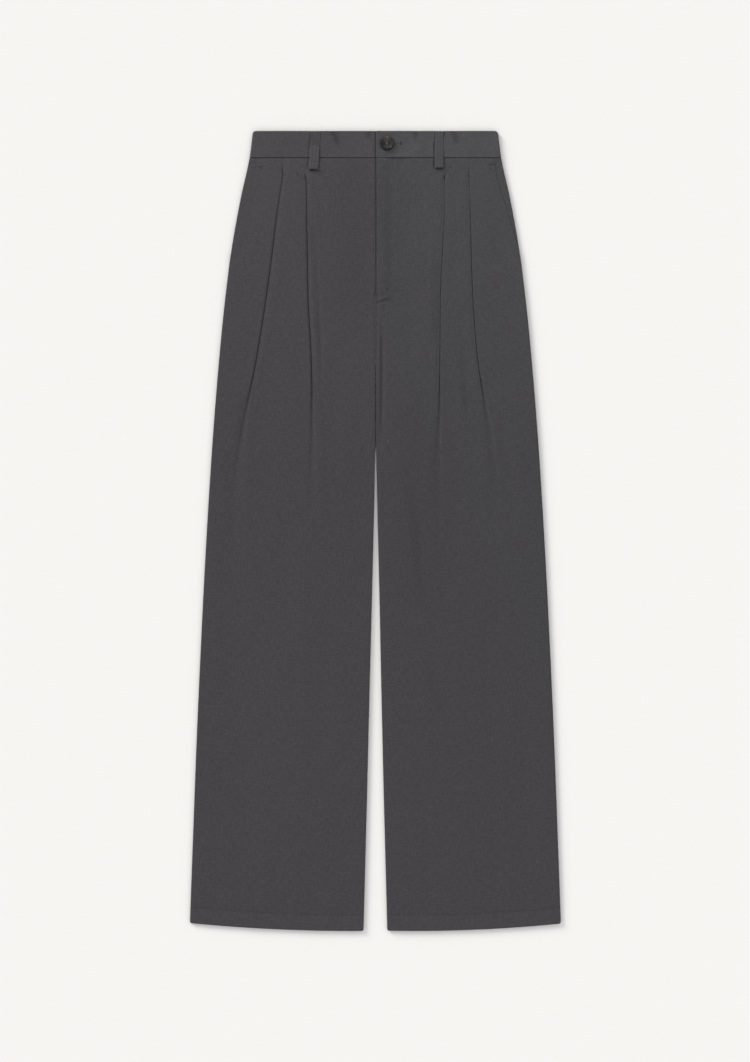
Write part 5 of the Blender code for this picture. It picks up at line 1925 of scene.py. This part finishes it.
def turned(name, profile, radius, place, sides, rings):
    """Closed shape of a profile, smoothed and spun about an upright axis above the band."""
    table = [(i, share * radius, height) for i, (share, height) in enumerate(profile)]
    steps = np.linspace(0, len(table) - 1, rings)
    radii, levels = read(table, steps, 1), read(table, steps, 2)
    turns = np.linspace(0, 2 * math.pi, sides, endpoint=False)
    points = [
        (place[0] + r * math.cos(t), place[1] + r * math.sin(t), BUTTON_BASE + h)
        for r, h in zip(radii, levels) for t in turns
    ]
    ring = np.arange(rings * sides).reshape(rings, sides)
    around = np.roll(ring, -1, axis=1)
    faces = np.stack([ring[:-1], around[:-1], around[1:], ring[1:]], axis=-1).reshape(-1, 4)
    return closed_piece(name, points, faces.tolist())


hole_places = [around_button(BUTTON_HOLE_RING, turn) for turn in HOLE_TURNS]
button = turned("trouser_button", BUTTON_PROFILE, BUTTON_RADIUS, BUTTON_PLACE,
                BUTTON_SIDES, BUTTON_RINGS)
pins = [
    turned("pin", PIN_PROFILE, BUTTON_HOLE_RADIUS, place, HOLE_SIDES, len(PIN_PROFILE))
    for place in hole_places
]
cut_with(button, pins)
button.data.materials.clear()
button.data.materials.append(horn)
button.data.shade_smooth()
button.data.set_sharp_from_angle(angle=SHARP_EDGE)
dress(button, "button")
print("button faces:", len(button.data.polygons))

# %% Sizes of the button thread
STRANDS = 4
STRAND_RADIUS = 0.17 * MM
STRAND_ARCH = 0.85 * MM
STRAND_OVER = 0.5 * MM       # how far the thread rubs past the middle of its holes
STRAND_DRAW = 0.55           # how much the two bundles are drawn together in the middle
STRAND_BOW = 0.6             # below 1 the strand rises steeply and runs flat over the middle
STRAND_STEPS = 12
STRAND_SPACING = 1.7 * STRAND_RADIUS
STRAND_SIDES = 8
STRAND_LOW = BUTTON_BASE - 0.1 * MM
STRAND_LEVEL = BUTTON_BASE + 1.90 * MM       # where it comes out of a hole
BUNDLES = [(2, 1), (3, 0)]   # holes that each bundle joins
SHANK_RADIUS = 1.2 * MM
SHANK_LOW = BUTTON_BASE - 1.9 * MM
SHANK_LENGTH = 1.8 * MM
SHANK_TURNS = 5
SHANK_STEPS = 120
BUTTON_THREAD_TONE = (0.088, 0.081, 0.071)


# %% Threads through the holes
def make_cord_tree(name, material):
    """Tree that gives a line a round section."""
    tree, given, curve = new_tree(name, ("Radius",))
    ring = add_node(tree, "GeometryNodeCurvePrimitiveCircle", {
        "Resolution": STRAND_SIDES, "Radius": given["Radius"],
    })
    cord = add_node(tree, "GeometryNodeCurveToMesh", {
        "Curve": curve, "Profile Curve": ring.outputs["Curve"], "Fill Caps": True,
    })
    return close_tree(tree, cord, material)


def strand(first, second, sideways):
    """One strand from under the button up through a hole, over, and down the next."""
    line = [(first[0] + sideways / 2, first[1], STRAND_LOW)]
    start, end = first[1] - STRAND_OVER, second[1] + STRAND_OVER
    for share in np.linspace(0, 1, STRAND_STEPS + 1):
        bow = math.sin(math.pi * share) ** STRAND_BOW if 0 < share < 1 else 0.0
        drawn = STRAND_DRAW * bow * (BUTTON_PLACE[0] - first[0])
        along = start + share * (end - start)
        line.append((first[0] + drawn + sideways, along, STRAND_LEVEL + STRAND_ARCH * bow))
    line.append((second[0] + sideways / 2, second[1], STRAND_LOW))
    return line


button_thread = make_thread("button_thread", BUTTON_THREAD_TONE, 0.55)
cord_tree = make_cord_tree("strand_of_thread", button_thread)
strands = [
    strand(hole_places[first], hole_places[second], (i - (STRANDS - 1) / 2) * STRAND_SPACING)
    for first, second in BUNDLES for i in range(STRANDS)
]
turns = np.linspace(0, SHANK_TURNS * 2 * math.pi, SHANK_STEPS)
shank = [
    (*around_button(SHANK_RADIUS, t), SHANK_LOW + SHANK_LENGTH * i / len(turns))
    for i, t in enumerate(turns)
]
sewn_on = run_tree("button_threads", cord_tree, strands + [shank], {"Radius": STRAND_RADIUS})
dress(sewn_on, None)
print("thread strands:", len(strands))

# %% [markdown]
# ## Finish
# The triangles of the shown pieces are counted.

# %% Finish
triangles = {
    o.name: sum(len(p.vertices) - 2 for p in o.data.polygons)
    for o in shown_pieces() if o.type == "MESH"
}
print("most triangles:", sorted(triangles.items(), key=lambda t: -t[1])[:3])
print("all triangles:", sum(triangles.values()))
